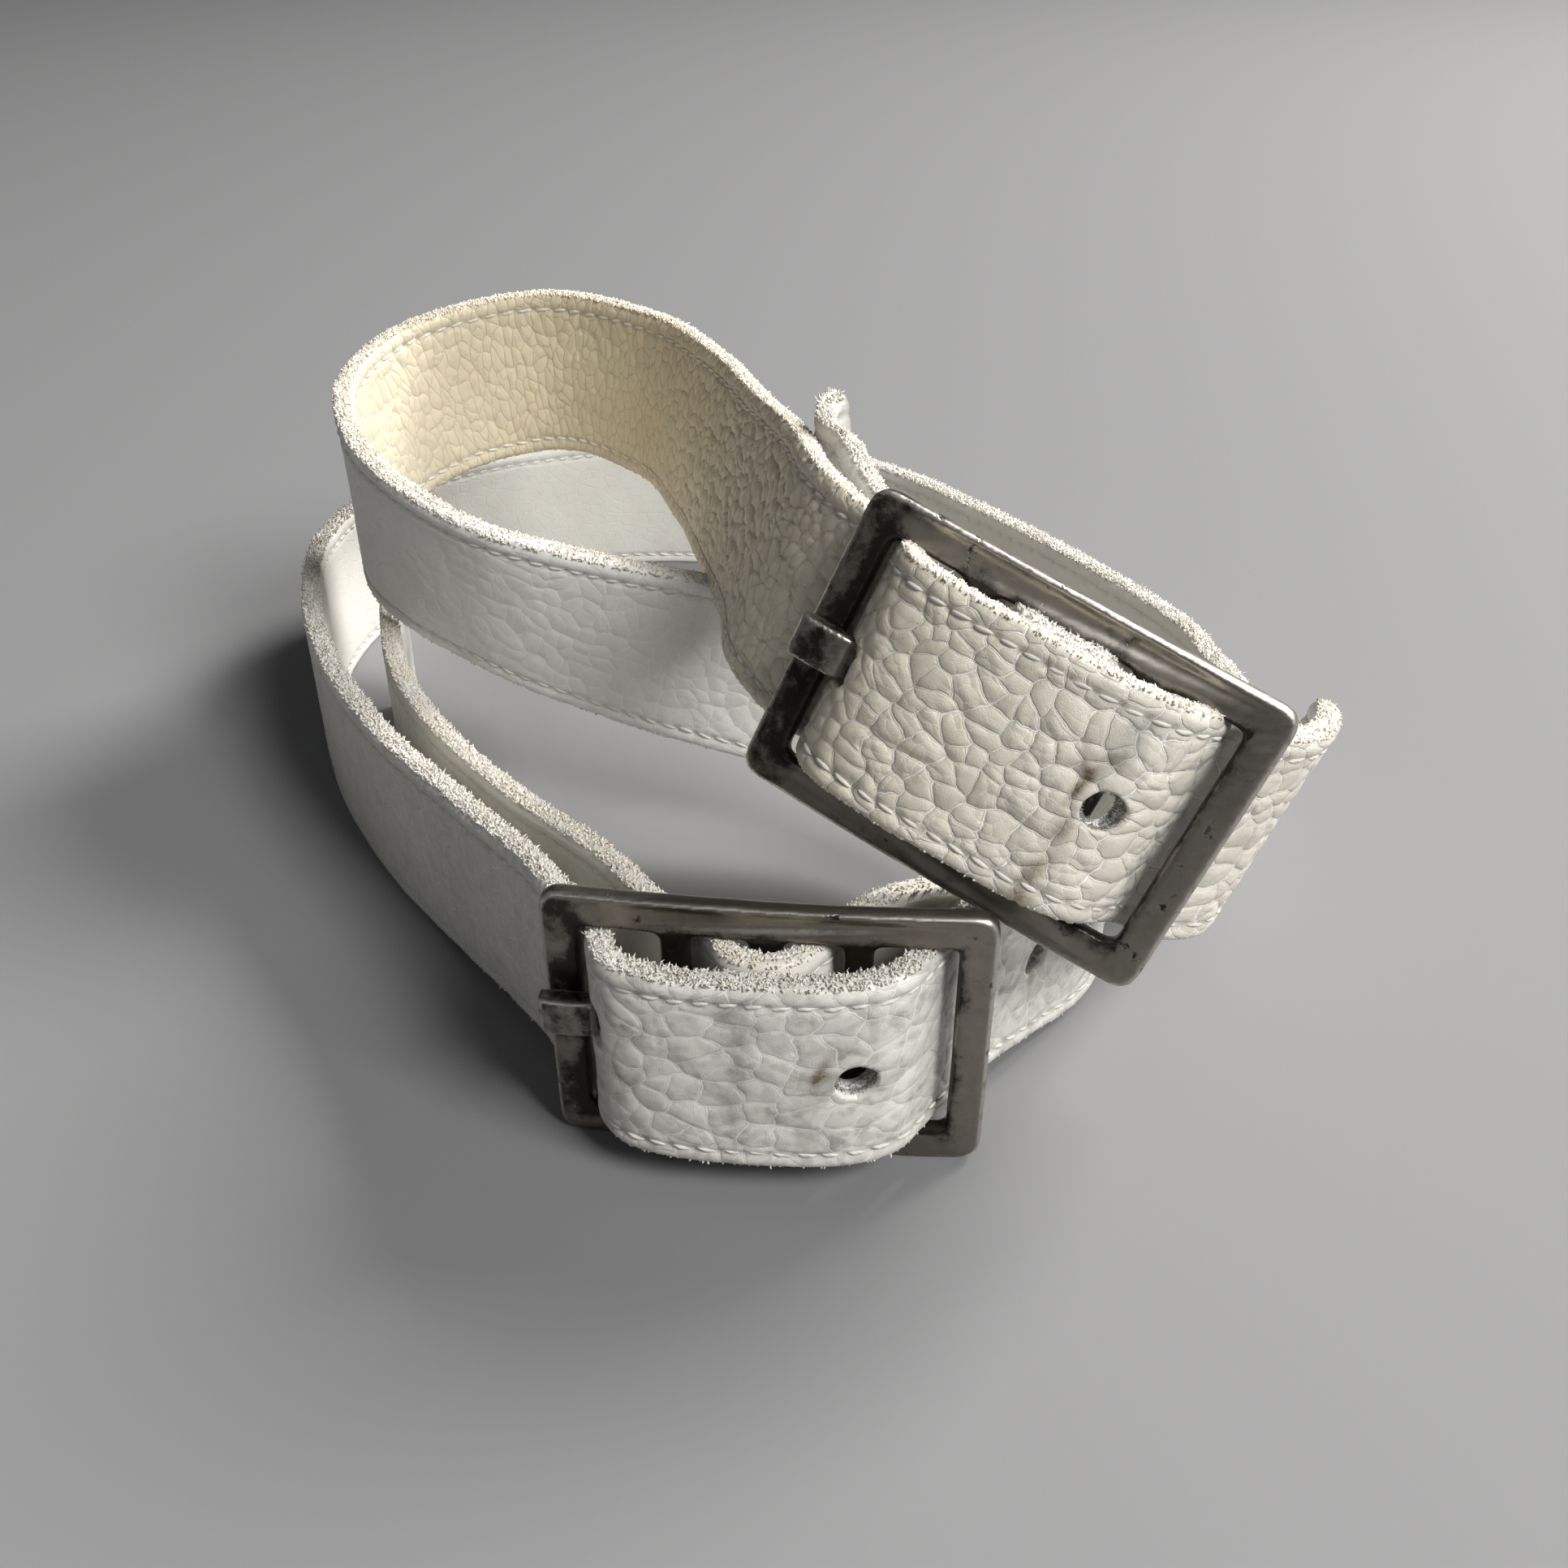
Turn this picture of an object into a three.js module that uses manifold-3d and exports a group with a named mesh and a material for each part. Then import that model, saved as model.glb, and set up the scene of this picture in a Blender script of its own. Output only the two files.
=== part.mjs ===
// A double-buckle leather belt, lying coiled: two lined straps joined by two
// identical rectangular buckles.
// Millimetres, +Z up. The origin is on the surface that the belt lies on, in the middle of
// the space that the coiled belt takes up. Routes are written from the foot of the lower
// buckle, and the whole belt is shifted to the origin at the end.
import * as THREE from 'three';
import { mergeVertices } from 'three/addons/utils/BufferGeometryUtils.js';
import Module from 'manifold-3d';

const wasm = await Module();
wasm.setup();

// Strap section: two plies of leather with a glue line between them.
const STRAP_WIDTH = 30;
const STRAP_THICKNESS = 3.8;
const PLY_GAP = 0.3;
const LINING_INSET = 0.2;
const MAX_STEP = 5.5;
const MAX_TURN = 0.17;

// Belt holes, oval, and the slot that lets the prong's ring through.
const HOLE_LENGTH = 5.6;
const HOLE_HEIGHT = 5.4;
const HOLE_PITCH = 39;
const LOWER_HOLE_X = 12.2;
const UPPER_HOLE_X = 14.6;
const HOLES_PER_STRAP = 2;
const RING_SLOT_HEIGHT = 6;
const PRONG_HOLE_HEIGHT = 6.6;

// Buckle casting.
const FRAME_WIDTH = 60;
const FRAME_HEIGHT = 43;
const FRAME_THICKNESS = 3;
const FRAME_BOW = 1.2;
const SIDE_BAR = 5;
const RAIL = 5.2;
const CENTRE_POST = 4.5;
const SLIM_POST = 4;
const SLIM_POST_X = 12;
const OUTER_RADIUS = 3;
const WINDOW_RADIUS = 1.4;
const FRAME_EDGE = 0.7;

// Prong, with a thick squared tip.
const PRONG_WIDTH = 4.8;
const TIP_WIDTH = 5.8;
const TIP_LENGTH = 7.9;
const RING_BORE = 2.95;
const RING_RADIUS = 4.3;
const PRONG_TIP_X = -30.5;

// Buckle poses: centre of the casting, and its turns about Z, X and Y in degrees. The prong
// can sit anywhere on the centre post: prongRise is how far it is above the middle.
const LOWER_BUCKLE = { at: [0, 0, 21.5], turn: [-5.8, 0, 0], prongRise: 3 };
const UPPER_BUCKLE = { at: [30.8, 12.1, 59.4], turn: [-18.9, -17.2, 20.6], prongRise: 0 };

// In a buckle's own frame X runs along the casting, Y points to its back and Z is up.
// The upper layer goes over all three posts, the under layer over the centre post only.
const OVER_WEAVE = [
  [-26, 4.4], [-23.4, 3.2], [-22.4, 0], [-21.5, -3.8], [-18.8, -7.1], [-12, -9.1], [0, -9.4],
  [11, -8.4], [17, -5.8], [20.1, -1.6], [22.6, 2.8],
];
const UNDER_WEAVE = [
  [-12.4, 3.2], [-8.3, 2], [-6, -1.1], [-4, -4.1], [0, -5.2],
  [4, -4.1], [6.2, -1.1], [8.5, 2.2],
];

const UPRIGHT = [0, 0, 1];

// Places a buckle's own coordinates in the belt's.
function buckleMatrix(pose) {
  const [z, x, y] = pose.turn.map(THREE.MathUtils.degToRad);
  const matrix = new THREE.Matrix4().makeRotationFromEuler(new THREE.Euler(x, y, z, 'ZXY'));
  return matrix.setPosition(...pose.at);
}

// Route stations through a buckle; drop is how far the strap sits below the casting's middle.
function through(pose, points, drop = 0) {
  const matrix = buckleMatrix(pose);
  const up = new THREE.Vector3(0, 0, 1).transformDirection(matrix);
  return points.map(([x, y, z = 0]) => ({
    at: new THREE.Vector3(x, y, z - drop).applyMatrix4(matrix),
    up,
  }));
}

function station(x, y, z, up = UPRIGHT) {
  return { at: new THREE.Vector3(x, y, z), up: new THREE.Vector3(...up) };
}

const FLOOR = STRAP_WIDTH / 2;
const LOWER_DROP = 0.2;
const UPPER_DROP = -0.8;

// Loop strap: free tail, under layer of the lower buckle, a tight fold behind it, the raised
// loop, then the upper layer of the upper buckle and its free tail.
const LOOP_ROUTE = [
  station(-76, 122, FLOOR),
  station(-72.5, 104, FLOOR),
  station(-66, 82, FLOOR),
  station(-54, 60, 15.6),
  station(-38, 38.5, 17),
  station(-24, 21.5, 19.5),
  ...through(LOWER_BUCKLE, UNDER_WEAVE, LOWER_DROP),
  ...through(LOWER_BUCKLE, [[12.6, 8], [18, 12]], LOWER_DROP),
  station(25.4, 12.6, 20.8),
  station(31.2, 19, 21.4),
  station(34, 28, 22.4),
  station(34, 41, 24.6),
  station(28.5, 56, 28),
  station(15, 68.5, 31, [0, 0.03, 1]),
  station(-7.5, 74.5, 34.6, [0, 0.04, 1]),
  station(-30, 78.5, 39, [0.08, -0.12, 1]),
  station(-51.5, 84, 44.2, [0.06, -0.24, 1]),
  station(-72.5, 102, 49.6, [0.06, -0.16, 1]),
  station(-77, 122, 54, [-0.08, -0.1, 1]),
  station(-68, 141, 58, [-0.19, -0.04, 1]),
  station(-45, 148, 61.6, [-0.07, 0.02, 1]),
  station(-24, 134, 61.6, [0.1, 0.06, 1]),
  station(-13, 111, 62, [0.24, 0.1, 1]),
  station(-6, 84, 64, [0.3, 0.16, 1]),
  station(-1, 60, 67.5, [0.36, 0.18, 0.95]),
  station(1.5, 42, 69.2, [0.4, 0.18, 0.9]),
  ...through(UPPER_BUCKLE, [[-31, 6.2], ...OVER_WEAVE], UPPER_DROP),
  ...through(UPPER_BUCKLE, [[29, 6.4, 0.6], [33, 11.5, 1.8], [34.6, 18.5, 3], [34, 26, 4]]),
];

// Ring strap: free tail, under layer of the upper buckle, down to the floor and round the
// ring, then the upper layer of the lower buckle and its free tail.
const RING_ROUTE = [
  station(12, 67.6, 70.9, [0.16, 0.1, 1]),
  station(8.8, 64.8, 70.2, [0.22, 0.12, 1]),
  station(6.8, 60.5, 69, [0.32, 0.16, 0.95]),
  station(6.6, 51.5, 67.5, [0.4, 0.18, 0.92]),
  station(8.6, 41.5, 66.2, [0.42, 0.18, 0.9]),
  ...through(UPPER_BUCKLE, [[-26, 10.1], [-18.6, 5.6]]),
  ...through(UPPER_BUCKLE, UNDER_WEAVE, UPPER_DROP),
  ...through(UPPER_BUCKLE, [[12.4, 8.2], [18, 14.4], [23, 22]]),
  station(65, 38, 34.5, [0.25, 0.1, 0.95]),
  station(74, 58, 23, [0.1, 0.05, 1]),
  station(79, 79, 16.5),
  station(77, 98, FLOOR),
  station(67.5, 117, FLOOR),
  station(45, 151, FLOOR),
  station(22, 177, FLOOR),
  station(-6, 189, FLOOR),
  station(-36, 191, FLOOR),
  station(-66, 181, FLOOR),
  station(-86, 162, FLOOR),
  station(-93, 138, FLOOR),
  station(-89, 111, FLOOR),
  station(-79, 85, FLOOR),
  station(-64, 60, 15.4),
  station(-48.5, 39.5, 17),
  station(-34.5, 20.5, 19.5),
  ...through(LOWER_BUCKLE, [[-29.4, 7.6], ...OVER_WEAVE], LOWER_DROP),
  station(30.8, 10.4, 20.3),
  station(39.6, 20.4, 18.2),
  station(46.8, 28.4, 16.2),
  station(51.4, 36.4, 15.2),
  station(53, 45, FLOOR),
];

// A smooth curve through the stations, with the strap's width direction at every point.
class StrapRoute {
  constructor(stations) {
    this.centre = new THREE.CatmullRomCurve3(stations.map((s) => s.at));
    this.up = new THREE.CatmullRomCurve3(stations.map((s) => s.up));
    this.samples = this.sample(stations.length * 24);
  }

  frameAt(t) {
    const at = this.centre.getPoint(t);
    const along = this.centre.getTangent(t);
    const across = this.up.getPoint(t);
    across.addScaledVector(along, -across.dot(along)).normalize();
    const out = new THREE.Vector3().crossVectors(along, across);
    return { at, along, across, out };
  }

  sample(count) {
    const list = [];
    let length = 0;
    for (let i = 0; i <= count; i += 1) {
      const frame = this.frameAt(i / count);
      if (i > 0) length += frame.at.distanceTo(list[i - 1].at);
      list.push({ ...frame, length });
    }
    return list;
  }

  get length() {
    return this.samples.at(-1).length;
  }

  // Sections far enough apart to keep the solid light, and close enough to follow each bend.
  sections() {
    const kept = [this.samples[0]];
    for (let i = 1; i < this.samples.length - 1; i += 1) {
      const last = kept.at(-1);
      const next = this.samples[i + 1];
      const turned = last.along.angleTo(next.along) + last.across.angleTo(next.across);
      if (next.length - last.length > MAX_STEP || turned > MAX_TURN) kept.push(this.samples[i]);
    }
    kept.push(this.samples.at(-1));
    return kept;
  }

  // The sample nearest to a point.
  near(point) {
    return this.samples.reduce((best, s) =>
      (s.at.distanceTo(point) < best.at.distanceTo(point) ? s : best));
  }

  atLength(length) {
    return this.samples.reduce((best, s) =>
      (Math.abs(s.length - length) < Math.abs(best.length - length) ? s : best));
  }
}

// One ply swept along the route, between two distances from the strap's middle surface.
function plySolid(route, inner, outer, halfWidth) {
  const positions = [];
  const triangles = [];
  const sections = route.sections();
  for (const { at, across, out } of sections) {
    for (const [n, w] of [[inner, -1], [outer, -1], [outer, 1], [inner, 1]]) {
      const corner = at.clone().addScaledVector(out, n).addScaledVector(across, w * halfWidth);
      positions.push(corner.x, corner.y, corner.z);
    }
  }
  for (let i = 0; i < sections.length - 1; i += 1) {
    for (let k = 0; k < 4; k += 1) {
      const a = i * 4 + k;
      const b = i * 4 + ((k + 1) % 4);
      // Both broad sides share one diagonal, so that the two plies stay parallel in a twist.
      if (k === 3) triangles.push(a, a + 4, b, b, a + 4, b + 4);
      else triangles.push(a, b + 4, b, a, a + 4, b + 4);
    }
  }
  const end = (sections.length - 1) * 4;
  triangles.push(0, 1, 2, 0, 2, 3, end, end + 2, end + 1, end, end + 3, end + 2);
  const geometry = new THREE.BufferGeometry();
  geometry.setAttribute('position', new THREE.Float32BufferAttribute(positions, 3));
  geometry.setIndex(triangles);
  return geometry;
}

function toManifold(geometry) {
  const bare = geometry.clone();
  bare.deleteAttribute('normal');
  bare.deleteAttribute('uv');
  const merged = mergeVertices(bare, 1e-5);
  return new wasm.Manifold(new wasm.Mesh({
    numProp: 3,
    vertProperties: new Float32Array(merged.attributes.position.array),
    triVerts: new Uint32Array(merged.index.array),
  }));
}

function toGeometry(solid) {
  const mesh = solid.getMesh();
  const geometry = new THREE.BufferGeometry();
  geometry.setAttribute('position', new THREE.BufferAttribute(mesh.vertProperties, 3));
  geometry.setIndex(new THREE.BufferAttribute(mesh.triVerts, 1));
  geometry.computeVertexNormals();
  return geometry;
}

// An oval punch through the strap at one point of its route.
function punch({ at, along, across, out }) {
  const outline = new THREE.Shape().absellipse(0, 0, HOLE_LENGTH / 2, HOLE_HEIGHT / 2, 0, 2 * Math.PI);
  const depth = 3 * STRAP_THICKNESS;
  const tool = new THREE.ExtrudeGeometry(outline, { depth, bevelEnabled: false, curveSegments: 6 });
  tool.translate(0, 0, -depth / 2);
  return tool.applyMatrix4(new THREE.Matrix4().makeBasis(along, across, out).setPosition(at));
}

// A block cut in a buckle's own frame, between two corners.
function block(pose, low, high) {
  const size = low.map((v, i) => high[i] - v);
  const box = new THREE.BoxGeometry(...size);
  box.translate(...low.map((v, i) => (v + high[i]) / 2));
  return box.applyMatrix4(buckleMatrix(pose));
}

// Clearance for the prong in the upper layer, where it comes out beside the side bar.
function prongHole(pose) {
  const half = PRONG_HOLE_HEIGHT / 2;
  const z = pose.prongRise;
  return block(pose, [-25.6, -6.9, z - half], [-13, -1.6, z + half]);
}

// Slot in the under layer for the prong's ring and shank.
function ringSlot(pose) {
  const half = RING_SLOT_HEIGHT / 2;
  const z = pose.prongRise;
  return block(pose, [-10.4, -9, z - half], [RING_RADIUS + 0.6, 3.6, z + half]);
}

function buckleMiddle(pose, x, y) {
  return new THREE.Vector3(x, y, 0).applyMatrix4(buckleMatrix(pose));
}

function leather(name, color, roughness) {
  return new THREE.MeshStandardMaterial({ name, color, roughness, metalness: 0 });
}

function silver(name) {
  return new THREE.MeshStandardMaterial({ name, color: 0x8a857c, roughness: 0.38, metalness: 1 });
}

function named(name, geometry, material) {
  const mesh = new THREE.Mesh(geometry, material);
  mesh.name = name;
  return mesh;
}

// Both plies of a strap, with the same holes and slot cut through both.
function strapPlies(name, route, cutters) {
  const half = STRAP_THICKNESS / 2;
  const plies = [
    ['face', PLY_GAP / 2, half, STRAP_WIDTH / 2, 0xd6d3c8],
    ['lining', -half, -PLY_GAP / 2, STRAP_WIDTH / 2 - LINING_INSET, 0xe3dcc6],
  ];
  return plies.map(([side, inner, outer, halfWidth, color]) => {
    const cut = cutters.reduce(
      (solid, tool) => solid.subtract(toManifold(tool)),
      toManifold(plySolid(route, inner, outer, halfWidth)),
    );
    return named(`${name}_${side}`, toGeometry(cut), leather(`${name}_${side}`, color, 0.6));
  });
}

// Free belt holes: the first is in front of the buckle's right slim post, the others follow
// towards the tail.
function beltHoles(route, pose, x) {
  const first = route.near(buckleMiddle(pose, x, -8));
  const tools = [];
  for (let k = 0; k < HOLES_PER_STRAP; k += 1) {
    tools.push(punch(route.atLength(first.length + k * HOLE_PITCH)));
  }
  return tools;
}

function roundedCorner(path, x, y, fromX, fromY, toX, toY) {
  path.lineTo(x + fromX, y + fromY);
  path.quadraticCurveTo(x, y, x + toX, y + toY);
}

function roundedWindow(left, right, half, radius) {
  const path = new THREE.Path();
  path.moveTo(left + radius, -half);
  roundedCorner(path, left, -half, radius, 0, 0, radius);
  roundedCorner(path, left, half, 0, -radius, radius, 0);
  roundedCorner(path, right, half, -radius, 0, 0, -radius);
  roundedCorner(path, right, -half, 0, radius, -radius, 0);
  path.closePath();
  return path;
}

// Outer outline of the casting, with points along both rails so that they can bow.
function frameOutline() {
  const w = FRAME_WIDTH / 2 - FRAME_EDGE;
  const h = FRAME_HEIGHT / 2 - FRAME_EDGE;
  const r = OUTER_RADIUS - FRAME_EDGE;
  const rail = [-0.6, -0.3, 0, 0.3, 0.6].map((k) => k * w);
  const outline = new THREE.Shape();
  outline.moveTo(-w + r, -h);
  rail.forEach((x) => outline.lineTo(x, -h));
  roundedCorner(outline, w, -h, -r, 0, 0, r);
  roundedCorner(outline, w, h, 0, -r, -r, 0);
  rail.reverse().forEach((x) => outline.lineTo(x, h));
  roundedCorner(outline, -w, h, r, 0, 0, -r);
  roundedCorner(outline, -w, -h, 0, r, r, 0);
  return outline;
}

// The casting: one rectangle with five upright bars, bowed forward.
function buckleFrame() {
  const outline = frameOutline();
  const side = FRAME_WIDTH / 2 - SIDE_BAR;
  const slimOut = SLIM_POST_X + SLIM_POST / 2;
  const slimIn = SLIM_POST_X - SLIM_POST / 2;
  const post = CENTRE_POST / 2;
  const half = FRAME_HEIGHT / 2 - RAIL + FRAME_EDGE;
  const spans = [[-side, -slimOut], [-slimIn, -post], [post, slimIn], [slimOut, side]];
  for (const [left, right] of spans) {
    const window = [left - FRAME_EDGE, right + FRAME_EDGE, half, WINDOW_RADIUS + FRAME_EDGE];
    outline.holes.push(roundedWindow(...window));
  }
  const geometry = new THREE.ExtrudeGeometry(outline, {
    depth: FRAME_THICKNESS - 2 * FRAME_EDGE,
    bevelThickness: FRAME_EDGE,
    bevelSize: FRAME_EDGE,
    bevelSegments: 2,
    curveSegments: 3,
  });
  geometry.translate(0, 0, FRAME_EDGE - FRAME_THICKNESS / 2);
  geometry.rotateX(Math.PI / 2);
  return bowed(geometry);
}

// Bends the casting so that its middle stands forward of its two ends.
function bowed(geometry) {
  const position = geometry.attributes.position;
  for (let i = 0; i < position.count; i += 1) {
    const along = position.getX(i) / (FRAME_WIDTH / 2);
    position.setY(i, position.getY(i) - FRAME_BOW * (1 - along * along));
  }
  return geometry;
}

// The prong's side view: a ring round the centre post, centred on [0, -FRAME_BOW], and a
// shank that reaches into the tip.
function shankOutline() {
  const outline = new THREE.Shape();
  const frontAngle = Math.asin(-3.35 / RING_RADIUS);
  const backAngle = Math.asin(-1.65 / RING_RADIUS);
  outline.moveTo(-24.2, -2.3);
  outline.lineTo(-24.2, -4.55);
  outline.absarc(0, -FRAME_BOW, RING_RADIUS, Math.PI - frontAngle, 3 * Math.PI - backAngle, false);
  outline.lineTo(-20, -2.85);
  outline.closePath();
  const bore = new THREE.Path();
  bore.absarc(0, -FRAME_BOW, RING_BORE, 0, 2 * Math.PI, true);
  outline.holes.push(bore);
  return outline;
}

// The tip's side view: a low block with a slightly domed front, over the side bar.
function tipOutline() {
  const end = PRONG_TIP_X + TIP_LENGTH;
  const outline = new THREE.Shape();
  outline.moveTo(PRONG_TIP_X, -2.1);
  outline.lineTo(PRONG_TIP_X, -4.4);
  outline.lineTo(PRONG_TIP_X + 0.6, -5);
  outline.quadraticCurveTo((PRONG_TIP_X + end) / 2, -5.7, end - 0.6, -5.1);
  outline.lineTo(end, -4.6);
  outline.lineTo(end, -2.5);
  outline.lineTo(-24.2, -2.1);
  outline.closePath();
  return outline;
}

// An outline extruded to both sides of the buckle's mid-height.
function slab(outline, width) {
  const geometry = new THREE.ExtrudeGeometry(outline, {
    depth: width,
    bevelEnabled: false,
    curveSegments: 10,
  });
  return geometry.translate(0, 0, -width / 2);
}

function prong() {
  const shank = toManifold(slab(shankOutline(), PRONG_WIDTH));
  return toGeometry(shank.add(toManifold(slab(tipOutline(), TIP_WIDTH))));
}

function buckle(name, pose) {
  const group = new THREE.Group();
  group.add(named(`${name}_buckle_frame`, buckleFrame(), silver('frame_silver')));
  const tongue = prong().translate(0, 0, pose.prongRise);
  group.add(named(`${name}_buckle_prong`, tongue, silver('prong_silver')));
  group.applyMatrix4(buckleMatrix(pose));
  return group;
}

const loopRoute = new StrapRoute(LOOP_ROUTE);
const ringRoute = new StrapRoute(RING_ROUTE);

const loopCutters = [
  ringSlot(LOWER_BUCKLE),
  prongHole(UPPER_BUCKLE),
  ...beltHoles(loopRoute, UPPER_BUCKLE, UPPER_HOLE_X),
];
const ringCutters = [
  ringSlot(UPPER_BUCKLE),
  prongHole(LOWER_BUCKLE),
  ...beltHoles(ringRoute, LOWER_BUCKLE, LOWER_HOLE_X),
];

// From the foot of the lower buckle to the middle of the coil.
const SHIFT = new THREE.Vector3(6.72, -90.95, 0.12);

const group = new THREE.Group();
group.position.copy(SHIFT);
group.add(buckle('lower', LOWER_BUCKLE));
group.add(buckle('upper', UPPER_BUCKLE));
group.add(...strapPlies('loop_strap', loopRoute, loopCutters));
group.add(...strapPlies('ring_strap', ringRoute, ringCutters));

export default group;
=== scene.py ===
"""Looks of a double-buckle leather belt: two lined straps woven through two cast buckles.

Lengths are in millimetres until a mesh is made; MM turns them into metres.
"""
import math

import bpy
import numpy as np
from mathutils import Matrix, Vector


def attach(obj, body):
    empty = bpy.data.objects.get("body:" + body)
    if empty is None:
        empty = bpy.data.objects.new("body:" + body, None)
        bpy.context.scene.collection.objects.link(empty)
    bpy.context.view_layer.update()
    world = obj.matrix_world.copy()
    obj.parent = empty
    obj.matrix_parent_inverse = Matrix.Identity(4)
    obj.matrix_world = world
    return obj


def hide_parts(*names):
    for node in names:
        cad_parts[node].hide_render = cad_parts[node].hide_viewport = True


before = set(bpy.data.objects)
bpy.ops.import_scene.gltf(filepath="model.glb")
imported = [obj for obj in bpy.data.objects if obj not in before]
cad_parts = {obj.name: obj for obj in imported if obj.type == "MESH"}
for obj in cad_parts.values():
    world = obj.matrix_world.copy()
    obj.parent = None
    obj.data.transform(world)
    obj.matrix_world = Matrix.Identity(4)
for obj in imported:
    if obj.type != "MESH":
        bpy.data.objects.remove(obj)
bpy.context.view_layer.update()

MM = 0.001
BODY = "belt"

# ---------------------------------------------------------------- sizes of the belt
STRAP_WIDTH = 30.0
STRAP_THICKNESS = 3.8
HOLE_LENGTH = 5.6
HOLE_HEIGHT = 5.4
HOLE_PITCH = 39.0
LOWER_HOLE_X = 12.2
UPPER_HOLE_X = 14.6
HOLES_PER_STRAP = 2
STITCH_INSET = 2.35
STITCH_PITCH = 3.3
# The fluffy raw edges stand a little proud of the solid straps.
LEATHER_HALF = 15.4

# From the foot of the lower buckle to the middle of the coil.
SHIFT = np.array([6.72, -90.95, 0.12])

# How far the strap over a buckle's posts sits below the buckle's middle.
LOWER_DROP = 0.2
UPPER_DROP = -0.8

# Buckle poses: centre of the casting, its turns about Z, X and Y in degrees, how far its
# prong sits above its middle, and how far the strap sits below it.
LOWER_BUCKLE = {
    "at": (0, 0, 21.5), "turn": (-5.8, 0, 0), "rise": 3, "drop": LOWER_DROP,
}
UPPER_BUCKLE = {
    "at": (30.8, 12.1, 59.4), "turn": (-18.9, -17.2, 20.6), "rise": 0, "drop": UPPER_DROP,
}

# In a buckle's own frame X runs along the casting, Y points to its back and Z is up.
# The upper layer goes over all three posts, the under layer over the centre post only.
OVER_WEAVE = [
    (-26, 4.4), (-23.4, 3.2), (-22.4, 0), (-21.5, -3.8), (-18.8, -7.1), (-12, -9.1), (0, -9.4),
    (11, -8.4), (17, -5.8), (20.1, -1.6), (22.6, 2.8),
]
UNDER_WEAVE = [
    (-12.4, 3.2), (-8.3, 2), (-6, -1.1), (-4, -4.1), (0, -5.2),
    (4, -4.1), (6.2, -1.1), (8.5, 2.2),
]
# The prong's hole in the upper layer and the slot for its ring in the under layer, as
# blocks between two corners in a buckle's own frame.
PRONG_HOLE = ((-25.6, -6.9, -3.3), (-13, -1.6, 3.3))
RING_SLOT = ((-10.4, -9, -3), (4.9, 3.6, 3))
# Y of the upper layer in a buckle's own frame, where it is looked for beside the centre post
# and over it.
LAYER_Y = -8
CREST_Y = -9

UPRIGHT = (0, 0, 1)
FLOOR = STRAP_WIDTH / 2


def buckle_matrix(pose):
    """Places a buckle's own coordinates in the belt's."""
    z, x, y = (math.radians(turn) for turn in pose["turn"])
    turned = Matrix.Rotation(z, 4, "Z") @ Matrix.Rotation(x, 4, "X") @ Matrix.Rotation(y, 4, "Y")
    return Matrix.Translation(Vector(pose["at"])) @ turned


def through(pose, points, drop=0.0):
    """Route stations through a buckle; drop is how far the strap sits below its middle."""
    matrix = buckle_matrix(pose)
    up = tuple(matrix.to_3x3() @ Vector(UPRIGHT))
    places = [(*point, 0)[:3] for point in points]
    return [(tuple(matrix @ Vector((x, y, z - drop))), up) for x, y, z in places]


def stations(*places):
    """Route stations at places; a fourth value is the strap's upward direction there."""
    return [(place[:3], (*place, UPRIGHT)[3]) for place in places]


# Loop strap: free tail, under layer of the lower buckle, a tight fold behind it, the raised
# loop, then the upper layer of the upper buckle and its free tail.
LOOP_ROUTE = [
    *stations(
        (-76, 122, FLOOR), (-72.5, 104, FLOOR), (-66, 82, FLOOR), (-54, 60, 15.6),
        (-38, 38.5, 17), (-24, 21.5, 19.5),
    ),
    *through(LOWER_BUCKLE, UNDER_WEAVE, LOWER_DROP),
    *through(LOWER_BUCKLE, [(12.6, 8), (18, 12)], LOWER_DROP),
    *stations(
        (25.4, 12.6, 20.8), (31.2, 19, 21.4), (34, 28, 22.4), (34, 41, 24.6), (28.5, 56, 28),
        (15, 68.5, 31, (0, 0.03, 1)), (-7.5, 74.5, 34.6, (0, 0.04, 1)),
        (-30, 78.5, 39, (0.08, -0.12, 1)), (-51.5, 84, 44.2, (0.06, -0.24, 1)),
        (-72.5, 102, 49.6, (0.06, -0.16, 1)), (-77, 122, 54, (-0.08, -0.1, 1)),
        (-68, 141, 58, (-0.19, -0.04, 1)), (-45, 148, 61.6, (-0.07, 0.02, 1)),
        (-24, 134, 61.6, (0.1, 0.06, 1)), (-13, 111, 62, (0.24, 0.1, 1)),
        (-6, 84, 64, (0.3, 0.16, 1)), (-1, 60, 67.5, (0.36, 0.18, 0.95)),
        (1.5, 42, 69.2, (0.4, 0.18, 0.9)),
    ),
    *through(UPPER_BUCKLE, [(-31, 6.2), *OVER_WEAVE], UPPER_DROP),
    *through(UPPER_BUCKLE, [(29, 6.4, 0.6), (33, 11.5, 1.8), (34.6, 18.5, 3), (34, 26, 4)]),
]

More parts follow.
